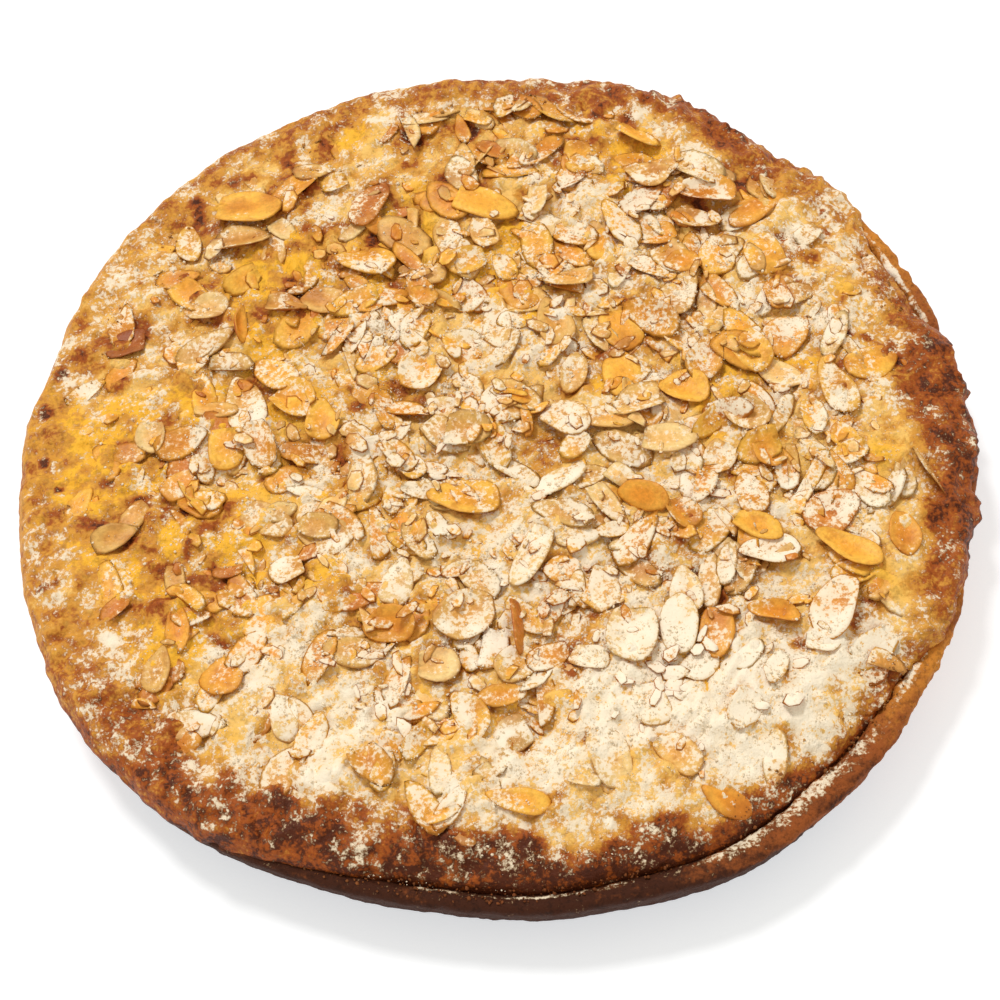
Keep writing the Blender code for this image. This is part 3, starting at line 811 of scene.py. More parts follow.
def filling_surface():
    """Points, corners and map of the filling: a bent grid, and a fan that closes its bottom."""
    grid, ring, angle = bent_grid()
    points = np.vstack([filling_points(ring, angle), [0.0, 0.0, FILLING_BOTTOM]])
    side = grid.max() - grid.min() + 1
    index = np.arange(side**2).reshape(side, side)
    near = np.stack([index[:-1, :-1], index[1:, :-1], index[1:, 1:]], axis=-1)
    far = np.stack([index[:-1, :-1], index[1:, 1:], index[:-1, 1:]], axis=-1)
    corners = np.concatenate([near.reshape(-1, 3), far.reshape(-1, 3)])
    border = np.concatenate([index[:-1, 0], index[-1, :-1], index[:0:-1, -1], index[0, :0:-1]])
    fan = np.stack([np.roll(border, -1), border, np.full_like(border, len(points) - 1)], axis=-1)
    top_uv = 0.48 + 0.95 * grid / (side - 1.0)
    turn = np.arange(len(border)) / len(border)
    fan_turn = np.stack([turn + 1.0 / len(border), turn, turn + 0.5 / len(border)], axis=-1)
    fan_share = np.broadcast_to([1.0, 1.0, 0.0], fan_turn.shape)
    fan_uv = 0.965 + 0.03 * disc_uv(fan_share, fan_turn)
    return points, np.concatenate([corners, fan]), np.concatenate([top_uv[corners], fan_uv])


def some(count, chance, least, most, otherwise, rng):
    """A random number from least to most for a share of count slices, otherwise a fixed one."""
    chosen = rng.random((count, 1)) < chance
    return np.where(chosen, rng.uniform(least, most, (count, 1)), otherwise)


# Almonds

# Rings of a slice, from the middle of its top round the rim to the middle of its underside:
# share of the radius, and side of the middle plane from 1 to -1
LARGE_STATIONS = ((0.45, 1.0), (0.78, 1.0), (0.92, 0.8), (1.0, 0.25), (0.94, -0.1), (0.55, -0.2))
SMALL_STATIONS = ((0.8, 1.0), (1.0, 0.3), (0.75, -0.6))
BIT_STATIONS = ((0.75, 1.0), (1.0, 0.0), (0.75, -1.0))
BIT_POINTS = 7
BIT_THICKNESS = 0.45 * MM
ROLLED_SHARE = 0.2
FULLY_ROLLED_WIDTH = 8.0 * MM


def sheets(poses, sizes, bends, thickness, points, stations, rng, cut_share=0.45, split_share=0.0):
    """Points of many almond slices, each a tapered oval with wavy edges, cupped and twisted.

    A slice is a first pole, a ring for each station (share of the radius, side of the sheet)
    and a last pole. With turn t and share r its long coordinate is half the length times
    r cos t, its side one half the width times r sin t (1 - taper cos t), both times a wavy
    factor; its rise is bend r^2 plus a twist r^2 cos 2t and a ripple r^3 sin 3t. A share of the
    slices is snapped off straight near one end, a share is split lengthwise, and a share is
    rolled up along both sides. Also returns each point's share of the radius, and 1 on the
    underside and 0 on top.
    """
    count = len(poses)
    radii, sides = np.repeat(np.array(stations), points, axis=0).T
    share = np.concatenate([[0.0], radii, [0.0]])
    side = np.concatenate([[1.0], sides, [-1.0]])
    ring_turn = (np.arange(points) + 0.25) * 2.0 * np.pi / points
    turn = np.concatenate([[0.0], np.tile(ring_turn, len(stations)), [0.0]])
    phase = rng.uniform(0.0, 2.0 * np.pi, (4, count, 1))
    wavy = 1.0 + 0.06 * np.sin(2.0 * turn + phase[0]) + 0.045 * np.sin(3.0 * turn + phase[1])
    wavy = wavy + 0.03 * np.sin(5.0 * turn + phase[2])
    long_size, wide_size = sizes[:, :1], sizes[:, 1:]
    along = 0.5 * long_size * share * np.cos(turn) * wavy
    across = 0.5 * wide_size * share * np.sin(turn) * (1.0 - FLAKE_TAPER * np.cos(turn)) * wavy
    limit = some(count, cut_share, 0.2, 0.36, 1.0, rng) * long_size
    along = np.minimum(along, limit + 0.12 * across)
    limit = some(count, split_share, 0.02, 0.25, 1.0, rng) * wide_size
    across = np.minimum(across, limit + 0.1 * along)
    twist = rng.normal(0.0, 0.045, (count, 1)) * wide_size
    rolled = some(count, ROLLED_SHARE, 0.8, 2.2, 0.0, rng) * MM
    rolled = rolled * np.clip(wide_size / FULLY_ROLLED_WIDTH, 0.0, 1.0) ** 2
    rise = (bends[:, None] + twist * np.cos(2.0 * turn + phase[3])) * share**2
    rise = rise + 0.22 * MM * share**3 * np.sin(3.0 * turn + phase[0])
    rise = rise + rolled * (2.0 * across / wide_size) ** 2 + 0.5 * thickness * side
    centre, *axes = (poses[:, number, None, :] for number in range(4))
    spots = centre
    for distance, axis in zip((along, across, rise), axes):
        spots = spots + distance[..., None] * axis
    under = smooth_step((0.4 - side) / 0.5)
    return spots.reshape(-1, 3), np.tile(share, count), np.tile(under, count)


def linear(tone):
    """Screen colour, 0 to 255, as linear light."""
    part = np.array(tone) / 255.0
    return np.where(part <= 0.04045, part / 12.92, ((part + 0.055) / 1.055) ** 2.4)


def drawn_tones(x, y, rng):
    """Tones of scattered almonds by place: golden ones on the golden side and paler ones elsewhere."""
    golden = golden_amount(x, y)[:, None]
    shares = np.array(TAN_SHARES) * (1.0 - golden) + np.array(GOLD_SHARES) * golden
    chosen = (rng.random((len(x), 1)) > np.cumsum(shares, axis=1)).sum(axis=1)
    tones = np.array([linear(tone) for tone in ALMOND_TONES.values()])
    return tones[np.minimum(chosen, len(tones) - 1)] * rng.uniform(0.88, 1.08, (len(x), 1))


SMALL_THICKNESS = 0.6 * MM
SMALL_SINK = 0.45 * MM
SMALL_REACH = 110.0 * MM
SMALL_SPLIT_SHARE = 0.3
RAISED_SHARE = 0.16
RAISED_LEAN = 19.0
USUAL_LEAN = 7.0
LOW_FLAKES = 330
HIGH_FLAKES = 70
HIGHEST_REST = 32.8 * MM
CLEAR_OF_PLACED = 8.0 * MM

# Where the smaller flakes thin out: east, north and radius in mm, then the share left away
BARE_PATCHES = (
    (-118, 0, 34, 0.95), (-104, -36, 32, 0.95), (-78, -76, 34, 0.9), (-40, -104, 30, 0.9),
    (0, -112, 28, 0.95), (44, -106, 26, 0.95), (84, -82, 22, 0.95), (112, -40, 16, 0.9),
    (118, 0, 16, 0.9), (100, 66, 20, 0.7), (-108, 44, 16, 0.8), (58, -72, 32, 0.93),
    (22, -76, 22, 0.8), (-44, -62, 26, 0.82), (84, 48, 22, 0.7), (98, 12, 20, 0.65),
    (90, -62, 20, 0.7), (-96, 20, 26, 0.6), (-20, 96, 18, 0.4),
)


def smaller_flakes(count, spacing, rng):
    """Places, sizes, headings and leans of smaller flakes, a spacing clear of the placed ones.

    Those on top of others keep off the highest places, and all thin out in the bare patches.
    """
    placed_x, placed_y = np.array([row[:2] for row in PLACED_FLAKES], dtype=float).T * MM
    rows = []
    while len(rows) < count:
        x, y = rng.uniform(-SMALL_REACH, SMALL_REACH, 2)
        length = rng.uniform(8.5, 17.5) * MM
        width = length * rng.uniform(0.36, 0.6)
        heading = rng.uniform(0.0, 180.0)
        lean = rng.normal(0.0, RAISED_LEAN if rng.random() < RAISED_SHARE else USUAL_LEAN)
        distance = np.hypot(placed_x - x, placed_y - y).min()
        lean = lean if distance > CLEAR_OF_PLACED else 0.25 * lean
        low = spacing == 0.0 or float(filling_top(np.array(x), np.array(y))) < HIGHEST_REST
        if distance > spacing and low and rng.random() < 1.0 - patch_amount(x, y, BARE_PATCHES):
            if math.hypot(x, y) < SMALL_REACH:
                rows.append((x, y, length, width, heading, lean))
    return rows


@functools.lru_cache(maxsize=None)
def flake_layout():
    """Poses, sizes, bends, tones and extra dust of the large flakes, then of the smaller ones.

    Some of the smaller ones lie on the bare filling, under the large ones, and some on top.
    """
    rng = np.random.default_rng(FLAKE_SEED)
    rows = scattered_flakes(rng) + placed_flakes()
    wanted_dust = np.array([row[7] for row in PLACED_FLAKES])
    bends = rng.uniform(-0.4, 0.9, len(rows)) * MM
    bends[SCATTERED_FLAKES:] *= 2.0 - wanted_dust
    bare = support_height(*map_grid(MAP_CELL))
    height = bare.copy()
    poses = settle(rows, height, FLAKE_THICKNESS, FLAKE_SINK)
    more = np.random.default_rng(FLAKE_SEED + 1)
    low_rows = smaller_flakes(LOW_FLAKES, 0.0, more)
    high_rows = smaller_flakes(HIGH_FLAKES, CLEAR_OF_PLACED, more)
    low_poses = settle(low_rows, bare, SMALL_THICKNESS, SMALL_SINK)
    high_poses = settle(high_rows, height, SMALL_THICKNESS, SMALL_SINK)
    small_poses = np.concatenate([low_poses, high_poses])
    groups = []
    for group_rows, group_poses in ((rows, poses), (low_rows + high_rows, small_poses)):
        x, y = group_poses[:, 0, :2].T
        sizes = np.array(group_rows)[:, 2:4]
        dust = more.normal(0.04, 0.12, len(x))
        groups.append([group_poses, sizes, bends, drawn_tones(x, y, more), dust])
    groups[1][2] = more.uniform(-0.4, 0.7, len(small_poses)) * MM
    groups[0][3][SCATTERED_FLAKES:] = [linear(ALMOND_TONES[row[6]]) for row in PLACED_FLAKES]
    placed_x, placed_y = poses[SCATTERED_FLAKES:, 0, :2].T
    groups[0][4][SCATTERED_FLAKES:] = wanted_dust - sugar_amount(placed_x, placed_y)
    return groups


def map_place(x, y, size):
    """Column and row of the nearest node to each place, on a fine map of size nodes a side."""
    place = np.rint((np.array([x, y]) + TART_RADIUS) / FINE_CELL).astype(int)
    return tuple(np.clip(place, 0, size - 1))


def almond_values(spots, share, under, extra_dust):
    """Attributes of almond pieces: rim, underside, sugar, and how browned they are by place, with
    painted shade from the border and in hollows.
    """
    x, y = spots[:, 0], spots[:, 1]
    # In hollows: less sugar, which falls on the tops, and painted shade as browner dough
    hollow_shade = hollow_shade_amount(spots)
    sugar = np.clip(sugar_amount(x, y) + extra_dust, 0.0, 1.0) * (1.0 - 0.4 * hollow_shade)
    sugar = sugar * (1.0 - 0.2 * smooth_step((share - 0.78) / 0.2))
    toast = np.maximum(smooth_step((border_toast_and_shade(x, y) - 0.25) / 0.6), 0.5 * hollow_shade)
    return ("rim", share), ("under", under), ("sugar", sugar), ("toast", toast)


FINE_CELL = 0.5 * MM
# Depth below the surroundings at which a hollow's painted shade is full
HOLLOW_DEPTH = 1.3 * MM
# The two kinds of slices: piece, thickness, points round a ring, rings and the share split
SLICE_KINDS = (
    ("flaked_almonds_large", FLAKE_THICKNESS, 24, LARGE_STATIONS, 0.0),
    ("flaked_almonds_small", SMALL_THICKNESS, 14, SMALL_STATIONS, SMALL_SPLIT_SHARE),
)
# Points round a ring and rings of a slice where it is drawn into the height map
MAP_POINTS = (48, 42)
MAP_STATIONS = tuple((share, 1.0) for share in np.linspace(0.04, 1.0, 24))


@functools.lru_cache(maxsize=None)
def fine_map():
    """Height map of everything that crumbs and sugar can lie on: the filling and all flakes."""
    grid_x, grid_y = map_grid(FINE_CELL)
    angle = np.arctan2(grid_y, grid_x)
    beyond = np.hypot(grid_x, grid_y) > filling_edge(angle)
    height = np.where(beyond, rim_level(angle), fine_top(grid_x, grid_y))
    for number, (poses, sizes, bends, _, _) in enumerate(flake_layout()):
        _, thickness, _, _, split = SLICE_KINDS[number]
        rng = np.random.default_rng(CUT_EDGE_SEED + number)
        points = MAP_POINTS[number]
        spots = sheets(poses, sizes, bends, thickness, points, MAP_STATIONS, rng, split_share=split)[0]
        np.maximum.at(height, map_place(*spots[:, :2].T, len(height)), spots[:, 2])
    return height


@functools.lru_cache(maxsize=None)
def broad_map():
    """The fine map averaged over a few millimetres, by repeated running means along both axes."""
    height = fine_map()
    for _ in range(4):
        total = np.cumsum(np.pad(height, ((5, 4), (0, 0)), mode="edge"), axis=0)
        height = ((total[9:] - total[:-9]) / 9.0).T
    return height


def hollow_shade_amount(spots):
    """How deep each point lies among its surroundings, from 0 where level with them up to 1: the amount
    of painted shade and of lost sugar in hollows.
    """
    x, y, z = spots.T
    around = broad_map()
    return smooth_step((around[map_place(x, y, len(around))] - z) / HOLLOW_DEPTH)


def lie_on_top(x, y, lift):
    """Points a lift above the fine map at each place."""
    height = fine_map()
    return np.column_stack([x, y, height[map_place(x, y, len(height))] + lift])


def spread(count, reach, chance, rng):
    """count random places within a radius of reach, each kept with the chance at that place."""
    kept = np.empty((0, 2))
    while len(kept) < count:
        x, y = rng.uniform(-reach, reach, (2, 4 * count))
        good = (np.hypot(x, y) < reach) & (rng.random(4 * count) < chance(x, y))
        kept = np.vstack([kept, np.column_stack([x, y])[good]])
    return kept[:count].T


def turned(count, rng):
    """count random turns as (count, 3, 3) matrices, from unit quaternions."""
    quaternions = rng.normal(size=(count, 4)).T
    w, x, y, z = quaternions / np.sqrt((quaternions**2).sum(axis=0))
    rows = [
        [1 - 2 * (y * y + z * z), 2 * (x * y - w * z), 2 * (x * z + w * y)],
        [2 * (x * y + w * z), 1 - 2 * (x * x + z * z), 2 * (y * z - w * x)],
        [2 * (x * z - w * y), 2 * (y * z + w * x), 1 - 2 * (x * x + y * y)],
    ]
    return np.moveaxis(np.array(rows), 2, 0)


def lumps(centres, radii, rings, points, rng, roughness=0.3):
    """Points of many small lumps: balls of a few rings, squashed, dented at random and turned."""
    count = len(centres)
    tilt = np.repeat(np.arange(1, rings + 1) * np.pi / (rings + 1), points)
    turn = np.tile(np.arange(points) * 2.0 * np.pi / points, rings)
    ring = np.column_stack([np.sin(tilt) * np.cos(turn), np.sin(tilt) * np.sin(turn), np.cos(tilt)])
    ball = np.vstack([[0.0, 0.0, 1.0], ring, [0.0, 0.0, -1.0]])
    dents = 1.0 + rng.uniform(-roughness, roughness, (count, len(ball), 1))
    stretch = rng.uniform(0.7, 1.3, (count, 1, 3))
    shape = ball[None] * dents * stretch * radii[:, None, None]
    spots = np.einsum("nij,nkj->nki", turned(count, rng), shape) + centres[:, None]
    return spots.reshape(-1, 3)


# Shader nodes


def put(tree, kind, sockets, **settings):
    """Add a node. A socket given for an input is linked to it, anything else is its value."""
    made = tree.nodes.new(kind)
    for name, value in settings.items():
        setattr(made, name, value)
    for key, value in sockets.items():
        if isinstance(value, bpy.types.NodeSocket):
            tree.links.new(value, made.inputs[key])
        else:
            made.inputs[key].default_value = value
    return made


def maths(tree, operation, a, b, clamp=False):
    """Output of a Math node on two numbers or sockets."""
    return put(tree, "ShaderNodeMath", {0: a, 1: b}, operation=operation, use_clamp=clamp).outputs[0]


def ranged(tree, value, low, high, to_low=0.0, to_high=1.0, curve="SMOOTHSTEP"):
    """Output of a clamped Map Range node, along a smooth S unless another curve is named."""
    sockets = {"Value": value, "From Min": low, "From Max": high, "To Min": to_low, "To Max": to_high}
    return put(tree, "ShaderNodeMapRange", sockets, interpolation_type=curve).outputs["Result"]


def mixed(tree, share, first, second, blend="MIX"):
    """Colour output of a Mix node."""
    sockets = {0: share, 6: first, 7: second}
    return put(tree, "ShaderNodeMix", sockets, data_type="RGBA", blend_type=blend).outputs[2]


def multiplied(tree, colour, factor):
    """A colour times another colour, or times a number."""
    if isinstance(factor, bpy.types.NodeSocket):
        grey = {0: factor, 1: factor, 2: factor}
        factor = put(tree, "ShaderNodeCombineColor", grey).outputs[0]
    return mixed(tree, 1.0, colour, factor, "MULTIPLY")


def noise(tree, scale, detail=2.0, roughness=0.5):
    """Value of a noise over Object coordinates, about scale cells to a metre."""
    place = put(tree, "ShaderNodeTexCoord", {}).outputs["Object"]
    sockets = {"Vector": place, "Scale": scale, "Detail": detail, "Roughness": roughness}
    return put(tree, "ShaderNodeTexNoise", sockets).outputs["Fac"]


def group_of(name, inputs, outputs):
    """A new shader node group with named sockets, its inputs' sockets and its output node."""
    tree = bpy.data.node_groups.new(name, "ShaderNodeTree")
    for socket, kind in inputs:
        tree.interface.new_socket(socket, in_out="INPUT", socket_type=kind)
    for socket, kind in outputs:
        tree.interface.new_socket(socket, in_out="OUTPUT", socket_type=kind)
    return tree, tree.nodes.new("NodeGroupInput").outputs, tree.nodes.new("NodeGroupOutput")


NUMBER = "NodeSocketFloat"
COLOUR = "NodeSocketColor"
# Cells of dusted sugar to a metre
DUST_GRAIN = 900.0
# Colours that dough takes on as it browns and where shade is painted, and the level of toast and painted
# shade at which each begins and is reached
BROWNING = (("Golden brown", 0.12, 0.45), ("Rust", 0.45, 0.78), ("Dark", 0.78, 1.0))
# Screen colours that a slice's tone is multiplied by
BROWNED_SLICE = (214, 178, 146)
AMBER_HEART = (252, 230, 200)
# The reddish underside is painted shade under the slice
SHADED_REDDISH_UNDERSIDE = (196, 134, 96)


@functools.lru_cache(maxsize=None)
def sugar_dust_group():
    """Where dusted sugar shows, and its colour.

    It shows where noise is above a threshold that falls as the amount rises, and only on top.
    """
    inputs = (("Amount", NUMBER), ("Grain", NUMBER))
    tree, given, out = group_of("Sugar dust", inputs, (("Color", COLOUR), ("Mask", NUMBER)))
    fine = noise(tree, given["Grain"], 3.0, 0.65)
    coarse = noise(tree, maths(tree, "MULTIPLY", given["Grain"], 0.28))
    weighed = (maths(tree, "MULTIPLY", fine, 0.7), maths(tree, "MULTIPLY", coarse, 0.3))
    both = maths(tree, "ADD", *weighed)
    normal = put(tree, "ShaderNodeNewGeometry", {}).outputs["Normal"]
    facing = put(tree, "ShaderNodeSeparateXYZ", {0: normal}).outputs["Z"]
    amount = maths(tree, "MULTIPLY", given["Amount"], ranged(tree, facing, 0.15, 0.75))
    threshold = ranged(tree, amount, 0.0, 1.0, 0.68, 0.34, "LINEAR")
    cover = ranged(tree, maths(tree, "SUBTRACT", both, threshold), -0.07, 0.1)
    thick = ranged(tree, given["Amount"], 0.7, 1.0)
    whitest = mixed(tree, thick, rgba(SUGAR_COLOUR), rgba(THICK_SUGAR_COLOUR))
    colour = mixed(tree, ranged(tree, cover, 0.15, 0.85), rgba(THIN_SUGAR_COLOUR), whitest)
    tree.links.new(colour, out.inputs["Color"])
    tree.links.new(maths(tree, "MULTIPLY", cover, 0.95), out.inputs["Mask"])
    return tree


@functools.lru_cache(maxsize=None)
def baked_tone_group():
    """Colour of baked dough by how brown it is and how much shade is painted on it, from pale to dark,
    mottled finely.
    """
    colours = [(name, COLOUR) for name in ("Pale", *(name for name, _, _ in BROWNING))]
    inputs = (("Toast", NUMBER), ("Mottling", NUMBER), *colours)
    tree, given, out = group_of("Baked tone", inputs, (("Color", COLOUR), ("Toast", NUMBER)))
    spots = maths(tree, "SUBTRACT", noise(tree, 900.0, 3.0, 0.6), 0.5)
    blotches = maths(tree, "SUBTRACT", noise(tree, 240.0), 0.5)
    uneven = maths(tree, "MULTIPLY", maths(tree, "ADD", spots, blotches), given["Mottling"])
    toast = maths(tree, "ADD", given["Toast"], uneven, clamp=True)
    colour = given["Pale"]
    for name, low, high in BROWNING:
        colour = mixed(tree, ranged(tree, toast, low, high), colour, given[name])
    tree.links.new(colour, out.inputs["Color"])
    tree.links.new(toast, out.inputs["Toast"])
    return tree


@functools.lru_cache(maxsize=None)
def crumb_grain_group():
    """Fine baked crumb: a height of two noises, and a value from 0 in the hollows to 1 on the tips, used
    as painted shade and light.
    """
    outputs = (("Value", NUMBER), ("Height", NUMBER))
    tree, given, out = group_of("Crumb grain", (("Scale", NUMBER),), outputs)
    fine = noise(tree, given["Scale"], 3.0, 0.6)
    coarse = noise(tree, maths(tree, "MULTIPLY", given["Scale"], 0.4))
    height = maths(tree, "ADD", fine, coarse)
    tree.links.new(height, out.inputs["Height"])
    tree.links.new(ranged(tree, height, 0.65, 1.1), out.inputs["Value"])
    return tree


def dusted(tree, shader, colour):
    """Give a material a colour with dusted sugar over it, and return where the sugar lies."""
    sockets = {"Amount": attribute(tree, "sugar"), "Grain": DUST_GRAIN}
    dust = put(tree, "ShaderNodeGroup", sockets, node_tree=sugar_dust_group())
    colour = mixed(tree, dust.outputs["Mask"], colour, dust.outputs["Color"])
    tree.links.new(colour, shader.inputs["Base Color"])
    return dust.outputs["Mask"]


def matt_where_dusted(tree, shader, mask, gloss):
    """Roughness from a glossier value on the bare surface to a matt one under sugar."""
    tree.links.new(ranged(tree, mask, 0.0, 1.0, gloss, 0.9), shader.inputs["Roughness"])


def material_shell(name, roughness):
    """A new material: its tree and its Principled shader, with the plain values set."""
    material = bpy.data.materials.new(name)
    material.use_nodes = True
    shader = material.node_tree.nodes["Principled BSDF"]
    shader.inputs["Roughness"].default_value = roughness
    shader.inputs["Specular IOR Level"].default_value = 0.15
    return material, material.node_tree, shader


def attribute(tree, name, output="Fac"):
    """An attribute of the piece, as a number or a colour."""
    return put(tree, "ShaderNodeAttribute", {}, attribute_name=name).outputs[output]


def bumped(tree, shader, height, distance):
    """Give a material the normal of a Bump node, of a height in metres times distance."""
    normal = put(tree, "ShaderNodeBump", {"Height": height, "Distance": distance, "Strength": 1.0})
    tree.links.new(normal.outputs["Normal"], shader.inputs["Normal"])


def baked_dough(tree, shader, settings, pale, mottling, scale, painted_grain_shade, depth):
    """Colour and relief of baked dough: browned by its attribute, painted shade included, darker in its
    grain's hollows and lighter on its tips as painted shade and light, and dusted.

    Returns where the sugar lies.
    """
    sockets = {"Toast": attribute(tree, "toast"), "Mottling": mottling, "Pale": pale}
    for name, _, _ in BROWNING:
        sockets[name] = (*getattr(settings, name.lower().replace(" ", "_")), 1.0)
    tone = put(tree, "ShaderNodeGroup", sockets, node_tree=baked_tone_group())
    grain = put(tree, "ShaderNodeGroup", {"Scale": scale}, node_tree=crumb_grain_group())
    # Painted shade in the grain's hollows and painted light on its tips
    shade = ranged(tree, grain.outputs["Value"], 0.0, 1.0, *painted_grain_shade)
    bumped(tree, shader, grain.outputs["Height"], depth)
    return dusted(tree, shader, multiplied(tree, tone.outputs["Color"], shade))


def rgba(tone):
    """Screen colour, 0 to 255, as linear light with alpha."""
    return (*linear(tone), 1.0)


def crust_material(settings):
    """Baked shortcrust: brown by its attribute, painted shade included, grainy, with a little sugar
    caught on top.
    """
    material, tree, shader = material_shell("Baked shortcrust", 0.72)
    pale = (*settings.pale, 1.0)
    baked_dough(tree, shader, settings, pale, 0.3, 1500.0, (0.7, 1.12), 0.35 * MM)
    return material


def filling_material(settings):
    """Baked almond filling: tan or golden by attribute, browned and in painted shade at its border,
    grainy and dusted.
    """
    material, tree, shader = material_shell("Baked almond filling", 0.6)
    ends = ((*settings.tan, 1.0), (*settings.golden, 1.0))
    pale = mixed(tree, attribute(tree, "golden"), *ends)
    mask = baked_dough(tree, shader, settings, pale, 0.85, 1100.0, (0.78, 1.06), 0.4 * MM)
    matt_where_dusted(tree, shader, mask, 0.5)
    return material


def almond_material(name):
    """Baked almond slice: its own tone, mottled, with a browner rim, a reddish underside as painted
    shade, and dusted.
    """
    material, tree, shader = material_shell(name, 0.5)
    shader.inputs["Specular IOR Level"].default_value = 0.3
    rim = attribute(tree, "rim")
    tone = attribute(tree, "tone", "Color")
    brown = multiplied(tree, tone, rgba(BROWNED_SLICE))
    heart = ranged(tree, rim, 0.25, 0.8, 1.0, 0.0)
    tone = mixed(tree, heart, tone, multiplied(tree, tone, rgba(AMBER_HEART)))
    blotches = noise(tree, 260.0, 3.0, 0.6)
    outer = maths(tree, "ADD", rim, maths(tree, "MULTIPLY", blotches, 0.6))
    browned = ranged(tree, outer, 0.95, 1.35, 0.0, 0.45)
    for other in (ranged(tree, blotches, 0.48, 0.7, 0.0, 0.7), attribute(tree, "toast")):
        browned = maths(tree, "MAXIMUM", browned, other)
    colour = mixed(tree, browned, tone, brown)
    # Painted shade: the underside made reddish
    shaded_reddish = multiplied(tree, tone, rgba(SHADED_REDDISH_UNDERSIDE))
    colour = mixed(tree, attribute(tree, "under"), colour, shaded_reddish)
    streaks = ranged(tree, noise(tree, 900.0, 4.0, 0.65), 0.3, 0.7, 0.84, 1.08)
    mask = dusted(tree, shader, multiplied(tree, colour, streaks))
    matt_where_dusted(tree, shader, mask, 0.42)
    bumped(tree, shader, noise(tree, 1300.0, 3.0), 0.2 * MM)
    return material


def grain_material(name, tone, roughness):
    """Sugar or crumbs: a plain tone, or one by attribute if none is given, with a fine noise."""
    material, tree, shader = material_shell(name, roughness)
    shade = ranged(tree, noise(tree, 2600.0), 0.3, 0.7, 0.86, 1.04)
    base = rgba(tone) if tone else attribute(tree, "tone", "Color")
    tree.links.new(multiplied(tree, base, shade), shader.inputs["Base Color"])
    return material


# Settings


def colour_setting(name, description, tone):
    """A colour property whose default is a screen colour."""
    return FloatVectorProperty(
        name=name,
        description=description,
        subtype="COLOR",
        size=3,
        min=0.0,
        max=1.0,
        default=tuple(linear(tone)),
    )


def count_setting(name, description, default):
    """A whole number from 0 up."""
    return IntProperty(name=name, description=description, default=default, min=0)


def strength_setting(name, description, default):
    """A number from 0 up."""
    return FloatProperty(name=name, description=description, default=default, min=0.0)


class TartCrustSettings(bpy.types.PropertyGroup):
    """Colours of the shortcrust case."""

    pale: colour_setting("Pale", "Crust that is hardly browned", (216, 148, 62))
    golden_brown: colour_setting("Golden brown", "Crust that is lightly browned", (196, 126, 48))
    rust: colour_setting("Rust", "Crust that is well browned", (142, 76, 34))
    dark: colour_setting("Dark", "Crust that is nearly burnt", (62, 30, 16))


class TartFillingSettings(bpy.types.PropertyGroup):
    """Colours of the baked filling."""

    tan: colour_setting("Tan", "Filling where it is tan", (238, 192, 108))
    golden: colour_setting("Golden", "Filling where it is golden", (240, 180, 54))
    golden_brown: colour_setting("Golden brown", "Filling that is lightly browned", (208, 146, 58))
    rust: colour_setting("Rust", "Filling that is well browned", (156, 78, 28))
    dark: colour_setting("Dark", "Filling that is nearly burnt", (82, 38, 20))


class TartToppingSettings(bpy.types.PropertyGroup):
    """Numbers of the small things on top."""

    almond_bits: count_setting("Almond bits", "Broken bits of almond", 560)
    crumbs: count_setting("Crumbs", "Baked crumbs", 2200)
    sugar_lumps: count_setting("Sugar lumps", "Lumps of dusted sugar", 2600)
    sugar_grains: count_setting("Sugar grains", "Grains of dusted sugar", 22000)


class TartStageSettings(bpy.types.PropertyGroup):
    """Floor, light and camera."""

    floor: colour_setting("Floor", "Colour of the floor", (204, 204, 204))
    key_strength: strength_setting("Key light", "Strength of the sun-like key light", 1.57)
    fill_strength: strength_setting("Fill light", "Strength of the light from all round", 0.74)
    floor_glow: strength_setting("Floor glow", "Light that the floor gives by itself", 0.55)
    distance: FloatProperty(
        name="Distance", description="From the camera to the tart", default=0.9, unit="LENGTH"
    )


class TartSettings(bpy.types.PropertyGroup):
    """Everything about the tart that a user would change."""

    crust: PointerProperty(type=TartCrustSettings)
    filling: PointerProperty(type=TartFillingSettings)
    topping: PointerProperty(type=TartToppingSettings)
    stage: PointerProperty(type=TartStageSettings)


# Operators

BIT_SEED = 24
BIT_REACH = 104.0 * MM
BIT_TILT = 0.25
CRUMB_REACH = 116.0 * MM
PALE_CRUMB = (214, 158, 84)
BROWN_CRUMB = (116, 64, 34)
# Rings and points round a ring of a lump
LUMP_SHAPE = (3, 6)
SUGAR_SEED = 31
SUGAR_REACH = 113.0 * MM
# Piece and setting, smallest and largest radius in mm, shape, and how closely it keeps to the
# clusters
SUGAR_KINDS = (
    ("sugar_lumps", 0.16, 0.4, LUMP_SHAPE, 1.5),
    ("sugar_grains", 0.08, 0.2, (1, 4), 1.0),
)


class TART_OT_crust(bpy.types.Operator):
    """Make the fine surface of the shortcrust case"""

    bl_idname = "tart.crust"
    bl_label = "Shortcrust case"

    def execute(self, context):
        points, rings = case_surface()
        ring, turn = stack_corners(rings, CASE_POINTS)
        corners = stack_indices(ring, turn, rings, CASE_POINTS)
        uv = disc_uv(ring / (rings + 1), turn / CASE_POINTS)
        values = (("toast", case_toast_and_shade(points)), ("sugar", case_sugar(points)))
        material = crust_material(context.scene.tart.crust)
        piece = mesh_piece("shortcrust_case", points, corners, uv, material, values)
        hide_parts("pastry_case")
        return {"FINISHED"}


